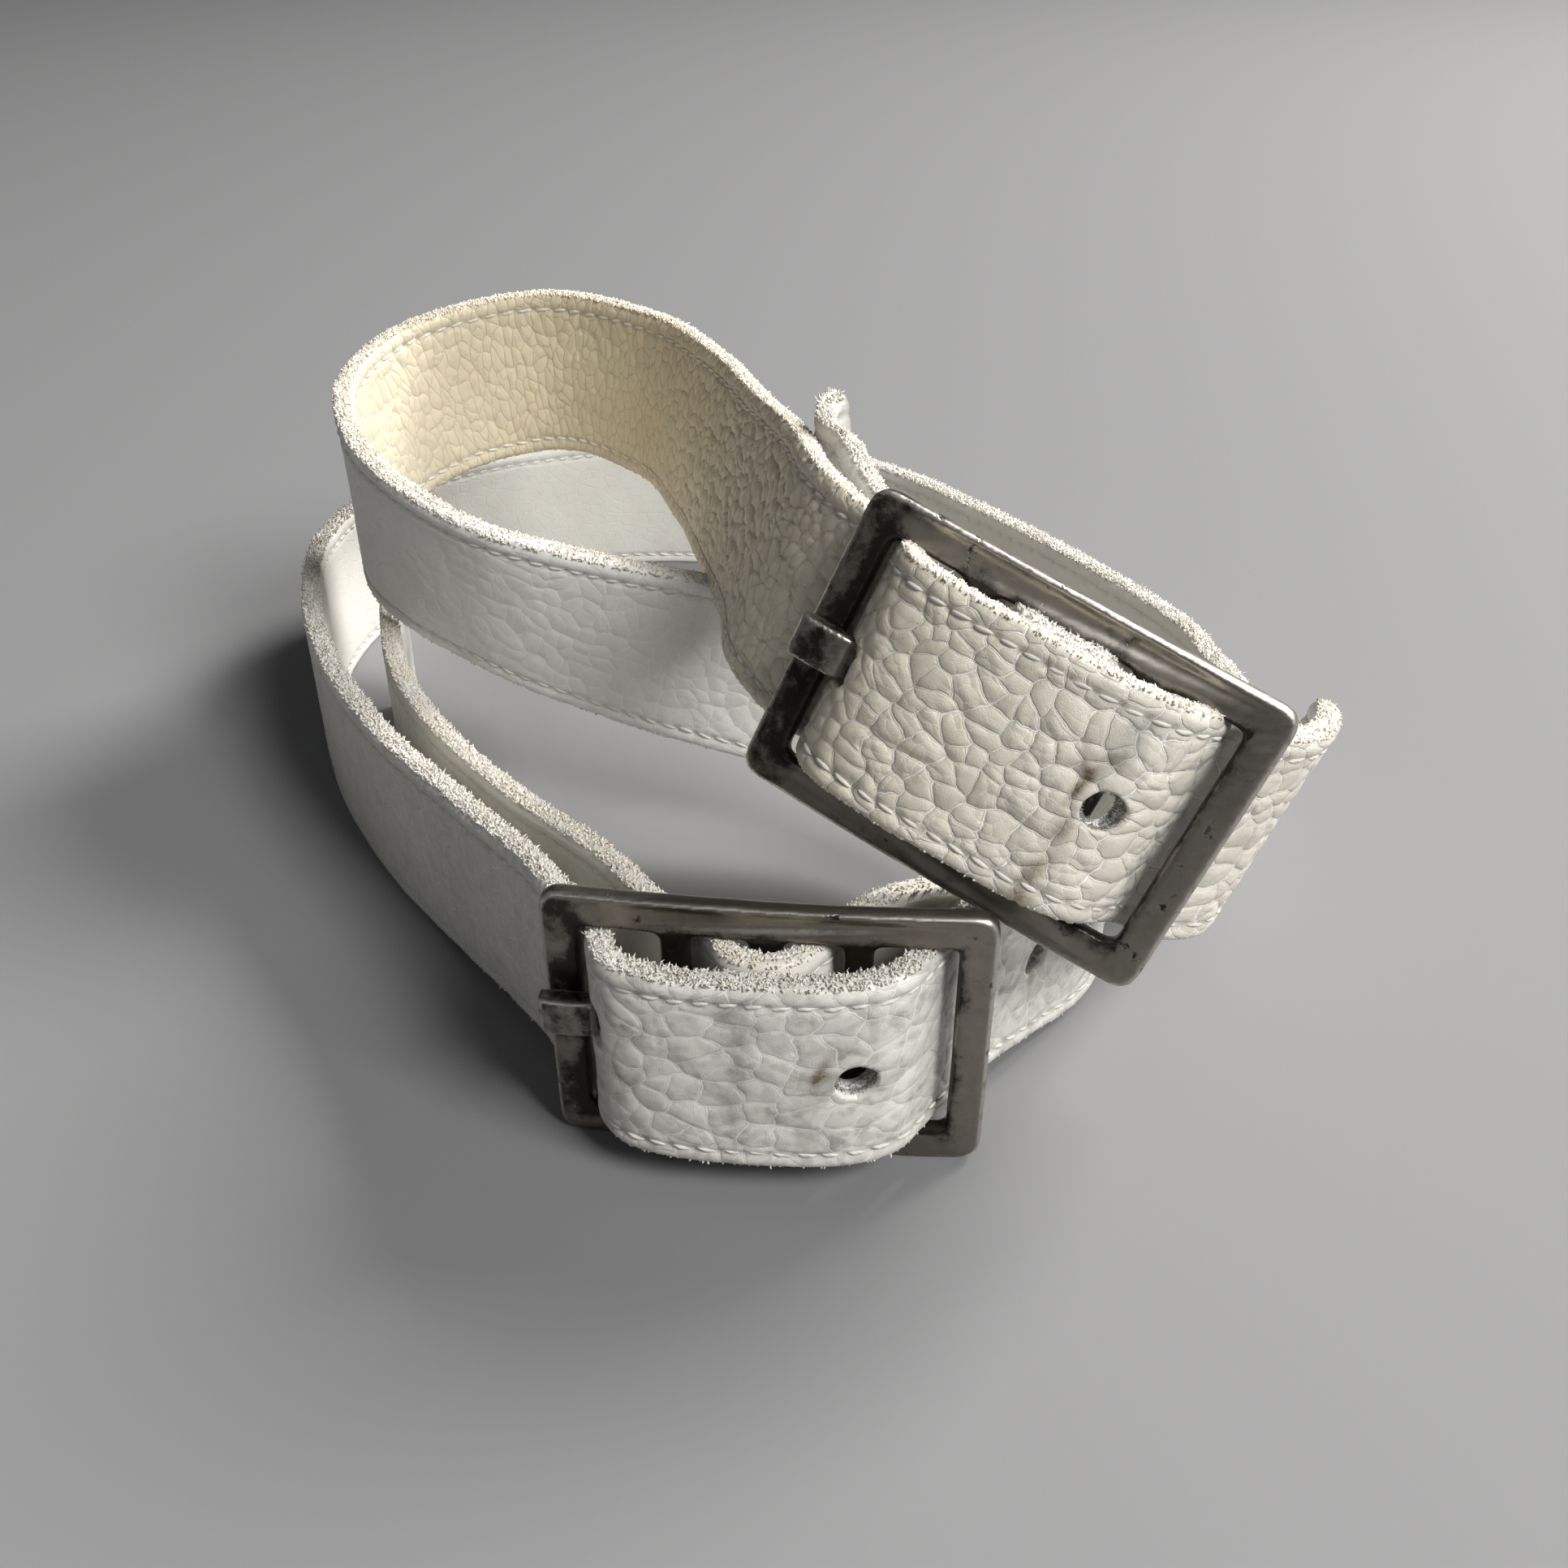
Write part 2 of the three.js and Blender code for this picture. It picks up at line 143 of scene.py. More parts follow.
# Ring strap: free tail, under layer of the upper buckle, down to the floor and round the
# ring, then the upper layer of the lower buckle and its free tail.
RING_ROUTE = [
    *stations(
        (12, 67.6, 70.9, (0.16, 0.1, 1)), (8.8, 64.8, 70.2, (0.22, 0.12, 1)),
        (6.8, 60.5, 69, (0.32, 0.16, 0.95)), (6.6, 51.5, 67.5, (0.4, 0.18, 0.92)),
        (8.6, 41.5, 66.2, (0.42, 0.18, 0.9)),
    ),
    *through(UPPER_BUCKLE, [(-26, 10.1), (-18.6, 5.6)]),
    *through(UPPER_BUCKLE, UNDER_WEAVE, UPPER_DROP),
    *through(UPPER_BUCKLE, [(12.4, 8.2), (18, 14.4), (23, 22)]),
    *stations(
        (65, 38, 34.5, (0.25, 0.1, 0.95)), (74, 58, 23, (0.1, 0.05, 1)), (79, 79, 16.5),
        (77, 98, FLOOR), (67.5, 117, FLOOR), (45, 151, FLOOR), (22, 177, FLOOR),
        (-6, 189, FLOOR), (-36, 191, FLOOR), (-66, 181, FLOOR), (-86, 162, FLOOR),
        (-93, 138, FLOOR), (-89, 111, FLOOR), (-79, 85, FLOOR), (-64, 60, 15.4),
        (-48.5, 39.5, 17), (-34.5, 20.5, 19.5),
    ),
    *through(LOWER_BUCKLE, [(-29.4, 7.6), *OVER_WEAVE], LOWER_DROP),
    *stations(
        (30.8, 10.4, 20.3), (39.6, 20.4, 18.2), (46.8, 28.4, 16.2), (51.4, 36.4, 15.2),
        (53, 45, FLOOR),
    ),
]


# ---------------------------------------------------------------- routes
NO_GAP = 1e-4
TANGENT_STEP = 1e-4
ROUTE_SAMPLES = 30000


def spline(stations, t):
    """Centripetal Catmull-Rom curve through the stations, at shares t of its whole."""
    points = np.array(stations, float)
    points = np.vstack([2 * points[0] - points[1], points, 2 * points[-1] - points[-2]])
    last = len(stations) - 1
    place = np.clip(t, 0, 1) * last
    index = np.minimum(place.astype(int), last - 1)
    share = (place - index)[:, None]
    p0, p1, p2, p3 = (points[index + k] for k in range(4))
    gaps = [np.sqrt(np.linalg.norm(b - a, axis=1)) for a, b in ((p0, p1), (p1, p2), (p2, p3))]
    d1 = np.where(gaps[1] < NO_GAP, 1.0, gaps[1])[:, None]
    d0 = np.where(gaps[0][:, None] < NO_GAP, d1, gaps[0][:, None])
    d2 = np.where(gaps[2][:, None] < NO_GAP, d1, gaps[2][:, None])
    t1 = ((p1 - p0) / d0 - (p2 - p0) / (d0 + d1) + (p2 - p1) / d1) * d1
    t2 = ((p2 - p1) / d1 - (p3 - p1) / (d1 + d2) + (p3 - p2) / d2) * d1
    c2 = -3 * p1 + 3 * p2 - 2 * t1 - t2
    c3 = 2 * p1 - 2 * p2 + t1 + t2
    return p1 + t1 * share + c2 * share**2 + c3 * share**3


def unit(rows):
    return rows / np.linalg.norm(rows, axis=1, keepdims=True)


class Route:
    """A strap's middle line, with its length, width and outward directions."""

    def __init__(self, stations):
        t = np.linspace(0, 1, ROUTE_SAMPLES)
        centres = [at for at, _ in stations]
        at = spline(centres, t)
        along = unit(spline(centres, t + TANGENT_STEP) - spline(centres, t - TANGENT_STEP))
        up = spline([u for _, u in stations], t)
        across = unit(up - along * np.sum(up * along, axis=1, keepdims=True))
        steps = np.linalg.norm(np.diff(at, axis=0), axis=1)
        self.lengths = np.concatenate([[0], np.cumsum(steps)])
        self.length = float(self.lengths[-1])
        self.columns = np.hstack([at, along, across, np.cross(along, across)])

    def frames(self, lengths):
        """Middle, along, across and out at distances from the strap's first end."""
        rows = np.stack([np.interp(lengths, self.lengths, c) for c in self.columns.T], axis=1)
        return rows[:, :3], unit(rows[:, 3:6]), unit(rows[:, 6:9]), unit(rows[:, 9:])

    def place(self, u, v, n):
        """Points at u along, v across and n out of the middle surface."""
        at, _, across, out = self.frames(u)
        return at + across * v[:, None] + out * n[:, None]

    def nearest(self, x, y, z):
        """Distance along the strap of the place nearest to a point."""
        gaps = np.linalg.norm(self.columns[:, :3] - np.array((x, y, z)), axis=1)
        return float(self.lengths[np.argmin(gaps)])

    def near(self, pose, x, y):
        """Distance along the strap of the place nearest to a point of a buckle."""
        return self.nearest(*(buckle_matrix(pose) @ Vector((x, y, 0))))

    def inside(self, pose, low, high, levels):
        """First and last distance along the strap inside a block of a buckle's frame.

        Levels are distances out of the middle surface at which the strap is looked at.
        """
        back = np.array(buckle_matrix(pose).inverted())
        hit = np.zeros(len(self.columns), bool)
        for level in levels:
            points = self.columns[:, :3] + level * self.columns[:, 9:]
            local = points @ back[:3, :3].T + back[:3, 3]
            hit |= np.all((local > np.array(low)) & (local < np.array(high)), axis=1)
        found = self.lengths[hit]
        return float(found[0]), float(found[-1])


LOOP = Route(LOOP_ROUTE)
RING = Route(RING_ROUTE)


# ---------------------------------------------------------------- openings in the straps
# Powers of the superellipses that outline the belt holes and the prong's openings, and the
# room at each end of such an opening.
OVAL_POWER = 2
SLOT_POWER = 5
SLOT_ROOM = 0.4


def oval_hole(u):
    return {"u": u, "v": 0, "half": (HOLE_LENGTH / 2, HOLE_HEIGHT / 2), "power": OVAL_POWER}


def slot_hole(route, pose, block, levels):
    """Opening where a block of a buckle's frame meets a strap, level with the prong."""
    low, high = block
    first, last = route.inside(pose, low, high, levels)
    half = ((last - first) / 2 + SLOT_ROOM, high[2])
    level = pose["rise"] + pose["drop"]
    return {"u": (first + last) / 2, "v": level, "half": half, "power": SLOT_POWER}


def front_hole(route):
    """Distance along a strap of its belt hole in front of a buckle."""
    if route is LOOP:
        return LOOP.near(UPPER_BUCKLE, UPPER_HOLE_X, LAYER_Y)
    return RING.near(LOWER_BUCKLE, LOWER_HOLE_X, LAYER_Y)


def belt_holes(route):
    return [oval_hole(front_hole(route) + k * HOLE_PITCH) for k in range(HOLES_PER_STRAP)]


def ply_holes(route, over_pose, under_pose, side):
    """Belt holes, the prong's hole and the ring's slot, in one ply of a strap."""
    outer = STRAP_THICKNESS / 2
    holes = belt_holes(route)
    holes.append(slot_hole(route, over_pose, PRONG_HOLE, [outer] if side > 0 else [0, -outer]))
    holes.append(slot_hole(route, under_pose, RING_SLOT, [0, side * outer]))
    return holes


# ---------------------------------------------------------------- mesh helpers
# No point of the belt goes nearer to the floor than this.
LOWEST = 0.02


def new_mesh(name, points, faces, material_rows=None):
    """A piece from points in millimetres of the belt's own frame; faces are index lists."""
    mesh = bpy.data.meshes.new(name)
    placed = points + SHIFT
    placed[:, 2] = np.maximum(placed[:, 2], LOWEST)
    mesh.from_pydata((placed * MM).tolist(), [], faces)
    if material_rows is not None:
        mesh.polygons.foreach_set("material_index", np.array(material_rows, np.int32))
    mesh.polygons.foreach_set("use_smooth", np.ones(len(mesh.polygons), bool))
    mesh.update()
    piece = bpy.data.objects.new(name, mesh)
    bpy.context.scene.collection.objects.link(piece)
    return piece


def add_vectors(mesh, name, rows):
    attribute = mesh.attributes.new(name, "FLOAT_VECTOR", "POINT")
    attribute.data.foreach_set("vector", np.asarray(rows, np.float32).ravel())


def add_numbers(mesh, name, values):
    attribute = mesh.attributes.new(name, "FLOAT", "POINT")
    attribute.data.foreach_set("value", np.asarray(values, np.float32))


def smooth_noise(rng, u, v, cell_u, cell_v):
    """Value noise on a strap's surface, from -1 to 1, with cells of the given size."""
    columns = int(np.ptp(u) / cell_u) + 3
    rows = int(np.ptp(v) / cell_v) + 3
    grid = rng.uniform(-1, 1, (columns, rows))
    x = (u - u.min()) / cell_u
    y = (v - v.min()) / cell_v
    i = np.floor(x).astype(int)
    j = np.floor(y).astype(int)
    fx = x - i
    fy = y - j
    fx = fx * fx * (3 - 2 * fx)
    fy = fy * fy * (3 - 2 * fy)
    low = grid[i, j] * (1 - fx) + grid[i + 1, j] * fx
    high = grid[i, j + 1] * (1 - fx) + grid[i + 1, j + 1] * fx
    return low * (1 - fy) + high * fy


# ---------------------------------------------------------------- ply meshes
# Steps of the grid along a strap, where it is seen closely and elsewhere, and across it.
FINE_STEP = 0.38
COARSE_STEP = 0.60
ACROSS_STEP = 0.44
# Rows of points on a raw edge; the surface rolls over within EDGE_ROLL and falls EDGE_DROP.
EDGE_ROWS = 6
EDGE_ROLL = 0.6
EDGE_DROP = 0.28
GROOVE_DEPTH = 0.42
GROOVE_HALF = 0.5
# Padding beside the stitches: its height, its distance from the edge and its half-width.
PADDING = 0.08
PADDING_INSET = 1.2
PADDING_HALF = 0.6
# Unevenness of the surface: height, and size of its waves along and across. The surface is
# set down by SETTLED, so that its highest places stay level with the solid.
UNEVEN = ((0.12, 9, 8), (0.06, 4, 4))
SETTLED = 0.08
# Thickness of the smooth grain that shows on a cut edge, beside the raw fibres.
GRAIN_LAYER = 0.5
# How far the raw edges swell past the cut, and how uneven they are.
UPPER_CROWN = 0.75
LOWER_CROWN = 0.2
FUZZ = (-0.2, 0.22)
WAVER = 0.14
# The third strap coordinate sets the noise of one side of a strap apart from the other's.
SIDE_PLANE = 40.0
# Material rows of a ply.
GRAIN_ROW, RAW_ROW, WALL_ROW = range(3)


def step_lengths(route, fine_spans):
    """Distances along a strap, closer together inside the given spans."""
    lengths = [0.0]
    while lengths[-1] < route.length:
        here = lengths[-1]
        fine = any(low < here < high for low, high in fine_spans)
        lengths.append(here + (FINE_STEP if fine else COARSE_STEP))
    return np.array(lengths) * route.length / lengths[-1]


def stitch_ends(u):
    """1 where the needle went in, between two stitches, and 0 elsewhere."""
    return np.clip(np.cos(2 * np.pi * (u / STITCH_PITCH + 0.5)), 0, 1) ** 2


def groove_share(v):
    """1 along the middle of a stitch row, falling to 0 on both sides."""
    return np.exp(-(((LEATHER_HALF - np.abs(v) - STITCH_INSET) / GROOVE_HALF) ** 2))


def surface_height(rng, u, v):
    """Height of the outer surface above the middle: padded, stitched and a little uneven."""
    from_edge = LEATHER_HALF - np.abs(v)
    groove = groove_share(v) * (0.55 + 0.65 * stitch_ends(u))
    rolled = np.clip(1 - from_edge / EDGE_ROLL, 0, 1) ** 2 * EDGE_DROP
    padded = PADDING * np.exp(-(((from_edge - PADDING_INSET) / PADDING_HALF) ** 2))
    height = STRAP_THICKNESS / 2 - GROOVE_DEPTH * groove - rolled + padded
    for swing, long, wide in UNEVEN:
        height += swing * smooth_noise(rng, u, v, long, wide)
    return height - SETTLED


def edge_crown(v, n):
    """How far the raw edge swells past the cut, more on the upper edge than the lower."""
    rounded = np.sqrt(np.clip(1 - (n / (STRAP_THICKNESS / 2)) ** 2, 0, 1))
    return np.where(v > 0, UPPER_CROWN, LOWER_CROWN) * rounded


def inside_hole(hole, u, v):
    """Below 1 inside a hole's outline, and above 1 outside it."""
    a, b = hole["half"]
    power = hole["power"]
    return np.abs((u - hole["u"]) / a) ** power + np.abs((v - hole["v"]) / b) ** power


def snap_to_hole(hole, u, v, rows):
    """Moves grid points onto a hole's outline."""
    size = inside_hole(hole, u[rows], v[rows]) ** (1 / hole["power"])
    u[rows] = hole["u"] + (u[rows] - hole["u"]) / size
    v[rows] = hole["v"] + (v[rows] - hole["v"]) / size


class PlyGrid:
    """Grid of a ply's outer surface and edges, with its hidden inner side and holes."""

    def __init__(self, route, side, holes, fine_spans, seed):
        self.route = route
        self.side = side
        self.holes = holes
        self.rng = np.random.default_rng(seed)
        self.stations = step_lengths(route, fine_spans)
        count = int(round(2 * LEATHER_HALF / ACROSS_STEP)) + 1
        self.across = np.linspace(-LEATHER_HALF, LEATHER_HALF, count)
        self.wide = count + 2 * EDGE_ROWS
        self.long = len(self.stations)
        self.build_rows()
        self.cut_holes()

    def build_rows(self):
        """Outer grid: up one edge, over the surface and down the other edge."""
        low = np.full(EDGE_ROWS, -LEATHER_HALF)
        v_line = np.concatenate([low, self.across, -low])
        share = np.concatenate([
            np.linspace(0, 1, EDGE_ROWS, endpoint=False),
            np.ones(len(self.across)),
            np.linspace(1, 0, EDGE_ROWS + 1)[1:],
        ])
        self.u, self.v = (g.ravel() for g in np.meshgrid(self.stations, v_line, indexing="ij"))
        self.share = np.tile(share, self.long)
        self.is_edge = self.share < 1

    def cut_holes(self):
        """Finds the cells inside holes, and moves the points round them onto the outline."""
        grid_u = self.u.reshape(self.long, self.wide)
        grid_v = self.v.reshape(self.long, self.wide)
        cells_u = ((grid_u[:-1] + grid_u[1:]) / 2)[:, :-1]
        cells_v = ((grid_v[:, :-1] + grid_v[:, 1:]) / 2)[:-1]
        self.open_cells = np.zeros(cells_u.shape, bool)
        self.window_rows = np.zeros(self.long, bool)
        rims = []
        for hole in self.holes:
            gone = inside_hole(hole, cells_u, cells_v) < 1
            self.open_cells |= gone
            touched = self.corners(gone)
            rims.append((touched & self.corners(~gone)).ravel())
            rows = np.flatnonzero(touched.any(axis=1))
            self.window_rows[rows.min() - 1:rows.max() + 2] = True
        for hole, rim in zip(self.holes, rims):
            snap_to_hole(hole, self.u, self.v, rim)

    def corners(self, cells_chosen):
        """Marks the grid points at the corners of the chosen cells."""
        marked = np.zeros((self.long, self.wide), bool)
        for i in (0, 1):
            for j in (0, 1):
                marked[i:self.long - 1 + i, j:self.wide - 1 + j] |= cells_chosen
        return marked

    def outer_points(self):
        """Points of the outer surface and of the uneven raw edges."""
        height = surface_height(self.rng, self.u, self.v)
        full = STRAP_THICKNESS / 2 - EDGE_DROP
        level = self.share * full
        raw = self.is_edge & (level < full - GRAIN_LAYER * 0.5)
        fuzz = self.rng.uniform(*FUZZ, len(self.u)) * raw
        crown = edge_crown(self.v, level) * self.is_edge
        waver = WAVER * smooth_noise(self.rng, self.u, self.v, 5, 40)
        v = self.v + np.sign(self.v) * (fuzz + crown + waver * self.is_edge)
        n = np.where(self.is_edge, level, height)
        return self.route.place(self.u, v, self.side * n)

    def faces(self):
        """Index lists of the faces, and the material row of each."""
        long, wide = self.long, self.wide
        faces = []
        rows = []
        index = np.arange(long * wide).reshape(long, wide)
        smooth_rows = int(round(EDGE_ROWS * GRAIN_LAYER / STRAP_THICKNESS * 2))
        raw_rows = EDGE_ROWS - smooth_rows
        grain = np.zeros(wide - 1, bool)
        grain[raw_rows:wide - 1 - raw_rows] = True
        flip = self.side < 0

        def quads(a, b, c, d, material):
            made = np.stack([a, b, c, d] if not flip else [d, c, b, a], axis=1)
            faces.extend(made.tolist())
            rows.extend(np.broadcast_to(material, len(made)).tolist())

        keep = ~self.open_cells
        a, b = index[:-1, :-1][keep], index[1:, :-1][keep]
        c, d = index[1:, 1:][keep], index[:-1, 1:][keep]
        material = np.broadcast_to(np.where(grain, GRAIN_ROW, RAW_ROW), keep.shape)[keep]
        quads(a, b, c, d, material)
        self.add_inner(faces, rows, index, keep, flip)
        return faces, rows

    def add_inner(self, faces, rows, index, keep, flip):
        """The hidden side at the glue line, the walls of the holes, and both ends."""
        long, wide = self.long, self.wide
        inner = np.full((long, wide), -1)
        inner[:, 0] = index[:, 0]
        inner[:, -1] = index[:, -1]
        extra = []
        next_index = long * wide
        for i in np.flatnonzero(self.window_rows):
            inner[i, 1:-1] = np.arange(next_index, next_index + wide - 2)
            next_index += wide - 2
            extra.append(index[i, 1:-1])
        self.inner_of = np.concatenate(extra) if extra else np.zeros(0, int)

        def put(face, material=RAW_ROW):
            faces.append([int(x) for x in (face if not flip else face[::-1])])
            rows.append(material)

        for i in range(long - 1):
            first, second = self.window_rows[i], self.window_rows[i + 1]
            if first and second:
                for j in range(wide - 1):
                    if keep[i, j]:
                        put([inner[i, j], inner[i, j + 1], inner[i + 1, j + 1], inner[i + 1, j]])
            else:
                near = inner[i] if first else inner[i, [0, -1]]
                far = inner[i + 1] if second else inner[i + 1, [0, -1]]
                put([*near, *far[::-1]])
        self.add_walls(put, index, inner, keep)
        put(list(index[0, ::-1]))
        put(list(index[-1]))

    def add_walls(self, put, index, inner, keep):
        """Walls of the holes, from the outer side to the hidden one."""

        def wall(a, b, turned=False):
            face = [index[a], index[b], inner[b], inner[a]]
            put(face[::-1] if turned else face, WALL_ROW)

        for i, j in np.argwhere(~keep):
            if keep[i - 1, j]:
                wall((i, j), (i, j + 1), turned=True)
            if keep[i + 1, j]:
                wall((i + 1, j), (i + 1, j + 1))
            if keep[i, j - 1]:
                wall((i, j), (i + 1, j))
            if keep[i, j + 1]:
                wall((i, j + 1), (i + 1, j + 1), turned=True)

    def relief(self):
        """1 where the leather has its full relief, less near its edges and stitches, and 0
        on its raw edges."""
        margin = np.clip((LEATHER_HALF - np.abs(self.v) - 2.0) / 1.2, 0, 1) * 0.7 + 0.3
        return np.where(self.is_edge, 0.0, margin * (1 - 0.7 * groove_share(self.v)))

    def build(self, name):
        """The ply as a closed mesh, with its strap coordinates and its relief mask."""
        faces, rows = self.faces()
        outer = self.outer_points()
        level = np.zeros(len(self.inner_of))
        glued = self.route.place(self.u[self.inner_of], self.v[self.inner_of], level)
        piece = new_mesh(name, np.vstack([outer, glued]), faces, rows)
        u = np.concatenate([self.u, self.u[self.inner_of]])
        v = np.concatenate([self.v, self.v[self.inner_of]])
        plane = np.full(len(u), SIDE_PLANE * self.side)
        add_vectors(piece.data, "strap", np.stack([u, v, plane], axis=1))
        add_numbers(piece.data, "relief", np.concatenate([self.relief(), level]))
        return piece


# ---------------------------------------------------------------- node helpers
def add_node(tree, kind, inputs=(), **settings):
    """Adds a node; inputs are given by place or by name, as values or as other sockets."""
    made = tree.nodes.new(kind)
    for key, value in settings.items():
        setattr(made, key, value)
    given = inputs.items() if isinstance(inputs, dict) else enumerate(inputs)
    for key, value in given:
        socket = made.inputs[key]
        if isinstance(value, bpy.types.NodeSocket):
            tree.links.new(value, socket)
        elif value is not None:
            socket.default_value = value
    return made


def calc(tree, operation, *values):
    return add_node(tree, "ShaderNodeMath", values, operation=operation).outputs[0]


def vector_calc(tree, operation, *values):
    return add_node(tree, "ShaderNodeVectorMath", values, operation=operation).outputs["Vector"]


def step_between(tree, value, low, high):
    """0 below low and 1 above high, with a smooth turn between them."""
    node = add_node(
        tree, "ShaderNodeMapRange",
        {"Value": value, "From Min": low, "From Max": high},
        interpolation_type="SMOOTHSTEP",
    )
    return node.outputs["Result"]


def noise(tree, vector, scale, detail=2.0, roughness=0.5, output="Fac"):
    inputs = {"Vector": vector, "Scale": scale, "Detail": detail, "Roughness": roughness}
    return add_node(tree, "ShaderNodeTexNoise", inputs).outputs[output]


def cells(tree, vector, sizes, randomness, feature):
    """Voronoi node for leather cells of the given size, in cell units."""
    scaled = vector_calc(tree, "MULTIPLY", vector, (1 / sizes[0], 1 / sizes[1], 1.0))
    return add_node(
        tree, "ShaderNodeTexVoronoi",
        {"Vector": scaled, "Scale": 1.0, "Randomness": randomness},
        feature=feature, voronoi_dimensions="2D",
    )


def cell_edge(tree, vector, sizes, randomness=1.0):
    """Distance to the nearest edge of a cell."""
    return cells(tree, vector, sizes, randomness, "DISTANCE_TO_EDGE").outputs["Distance"]


def cell_dome(tree, vector, sizes, randomness=1.0):
    """1 in the middle of a cell, falling in a round slope to about 0 at its edge."""
    away = cells(tree, vector, sizes, randomness, "F1").outputs["Distance"]
    return calc(tree, "MULTIPLY_ADD", calc(tree, "MULTIPLY", away, away), -2.2, 1.0)


# Size of a pebble and of a wrinkle, along and across, how irregular the pebbles are, and the
# width of the creases between both, as a share of a cell.
PEBBLE = (4.2, 3.5)
PEBBLE_CHANCE = 0.85
PEBBLE_CREASE = 0.032
WRINKLE = (2.3, 1.7)
WRINKLE_CREASE = 0.045
# Heights of a pebble's dome, of the shoulder at its crease and of a wrinkle's swell.
DOME = 0.14
SHOULDER = 0.08
SWELL = 0.07
# The height of the relief that stays level with the ply.
RELIEF_LEVEL = 0.19


def shaken(tree, place, scale, reach):
    """Coordinates moved about by smooth noise of the given scale and reach."""
    scaled = vector_calc(tree, "MULTIPLY", place, (scale, scale, scale))
    swing = noise(tree, scaled, 1.0, 1.5, output="Color")
    centred = vector_calc(tree, "SUBTRACT", swing, (0.5, 0.5, 0.5))
    shift = vector_calc(tree, "MULTIPLY", centred, (*reach, 0.0))
    return vector_calc(tree, "ADD", place, shift)


def pebble_relief(tree, place):
    """Height of pebbled leather, both crease masks, and how wrinkled it is.

    The same nodes work in a geometry tree, which shapes the mesh, and in a material.
    """
    moved = shaken(tree, shaken(tree, place, 0.10, (7.0, 6.0)), 0.8, (0.6, 0.6))
    fine = shaken(tree, moved, 1.1, (0.5, 0.5))
    cell = cell_edge(tree, moved, PEBBLE, PEBBLE_CHANCE)
    small = cell_edge(tree, fine, WRINKLE)
    patch = noise(tree, vector_calc(tree, "MULTIPLY", place, (0.13, 0.13, 0.13)), 1.0, 1.0)
    amount = step_between(tree, patch, 0.36, 0.62)
    crease = step_between(tree, cell, 0.0, PEBBLE_CREASE)
    wrinkle = step_between(tree, small, 0.0, WRINKLE_CREASE)
    height = calc(tree, "MULTIPLY", cell_dome(tree, moved, PEBBLE, PEBBLE_CHANCE), DOME)
    shoulder = step_between(tree, cell, 0.0, 0.12)
    height = calc(tree, "ADD", height, calc(tree, "MULTIPLY", shoulder, SHOULDER))
    swell = calc(tree, "MULTIPLY", cell_dome(tree, fine, WRINKLE), amount)
    return calc(tree, "MULTIPLY_ADD", swell, SWELL, height), crease, wrinkle, amount


def named_attribute(tree, name, data_type="FLOAT"):
    node = add_node(tree, "GeometryNodeInputNamedAttribute", {"Name": name}, data_type=data_type)
    return node.outputs["Attribute"]


def relief_tree():
    """Geometry nodes that push a ply's grain side out by its pebbles."""
    tree = bpy.data.node_groups.new("leather_relief", "GeometryNodeTree")
    tree.interface.new_socket("Geometry", in_out="INPUT", socket_type="NodeSocketGeometry")
    tree.interface.new_socket("Geometry", in_out="OUTPUT", socket_type="NodeSocketGeometry")
    start = tree.nodes.new("NodeGroupInput")
    end = tree.nodes.new("NodeGroupOutput")
    place = named_attribute(tree, "cells", "FLOAT_VECTOR")
    mask = calc(tree, "MULTIPLY", named_attribute(tree, "relief"), named_attribute(tree, "grain"))
    height = calc(tree, "SUBTRACT", pebble_relief(tree, place)[0], RELIEF_LEVEL)
    height = calc(tree, "MULTIPLY", height, mask)
    normal = tree.nodes.new("GeometryNodeInputNormal").outputs[0]
    offset = vector_calc(tree, "SCALE", normal, None)
    scale = offset.node.inputs["Scale"]
    tree.links.new(calc(tree, "MULTIPLY", height, MM), scale)
    moved = add_node(
        tree, "GeometryNodeSetPosition", {"Geometry": start.outputs[0], "Offset": offset},
    )
    tree.links.new(moved.outputs[0], end.inputs[0])
    return tree


def apply_modifiers(piece):
    """Replaces a piece's mesh with what its modifiers make of it."""
    depsgraph = bpy.context.evaluated_depsgraph_get()
    made = bpy.data.meshes.new_from_object(
        piece.evaluated_get(depsgraph), preserve_all_data_layers=True, depsgraph=depsgraph,
    )
    piece.modifiers.clear()
    piece.data = made
    made.name = piece.name
    return piece


def shape_leather(piece, tree):
    """Pushes a ply's pebbles out of its mesh."""
    modifier = piece.modifiers.new("relief", "NODES")
    modifier.node_group = tree
    return apply_modifiers(piece)


# ---------------------------------------------------------------- raw edges and stitches
TUFTS_PER_MM = 44
TUFT_LENGTH = (0.6, 1.2)
TUFT_RADIUS = (0.10, 0.19)
# Distances from the middle surface between which the tufts of an edge have their roots.
TUFT_LEVELS = (-1.7, 1.55)
UPPER_TUFT_SHARE = 0.72
LOWER_TUFT_LENGTH = 0.5
TUFTS_PER_HOLE = 420
HOLE_TUFT_LENGTH = (0.25, 0.85)
HOLE_TUFT_RADIUS = (0.05, 0.1)
HOLE_TUFT_LEVELS = (-1.7, 1.25)
# A tuft is a tapering prism with a point: two rings of three points and its tip.
TUFT_SIDES = 3
TUFT_POINTS = 7
TUFT_SUNK = 0.12
TUFT_FACES = [
    (2, 1, 0), (0, 1, 4, 3), (1, 2, 5, 4), (2, 0, 3, 5), (3, 4, 6), (4, 5, 6), (5, 3, 6),
]


def repeat_faces(pattern, size, count):
    """Faces of many alike shapes, each with as many points as size says."""
    return [[size * i + k for k in face] for i in range(count) for face in pattern]


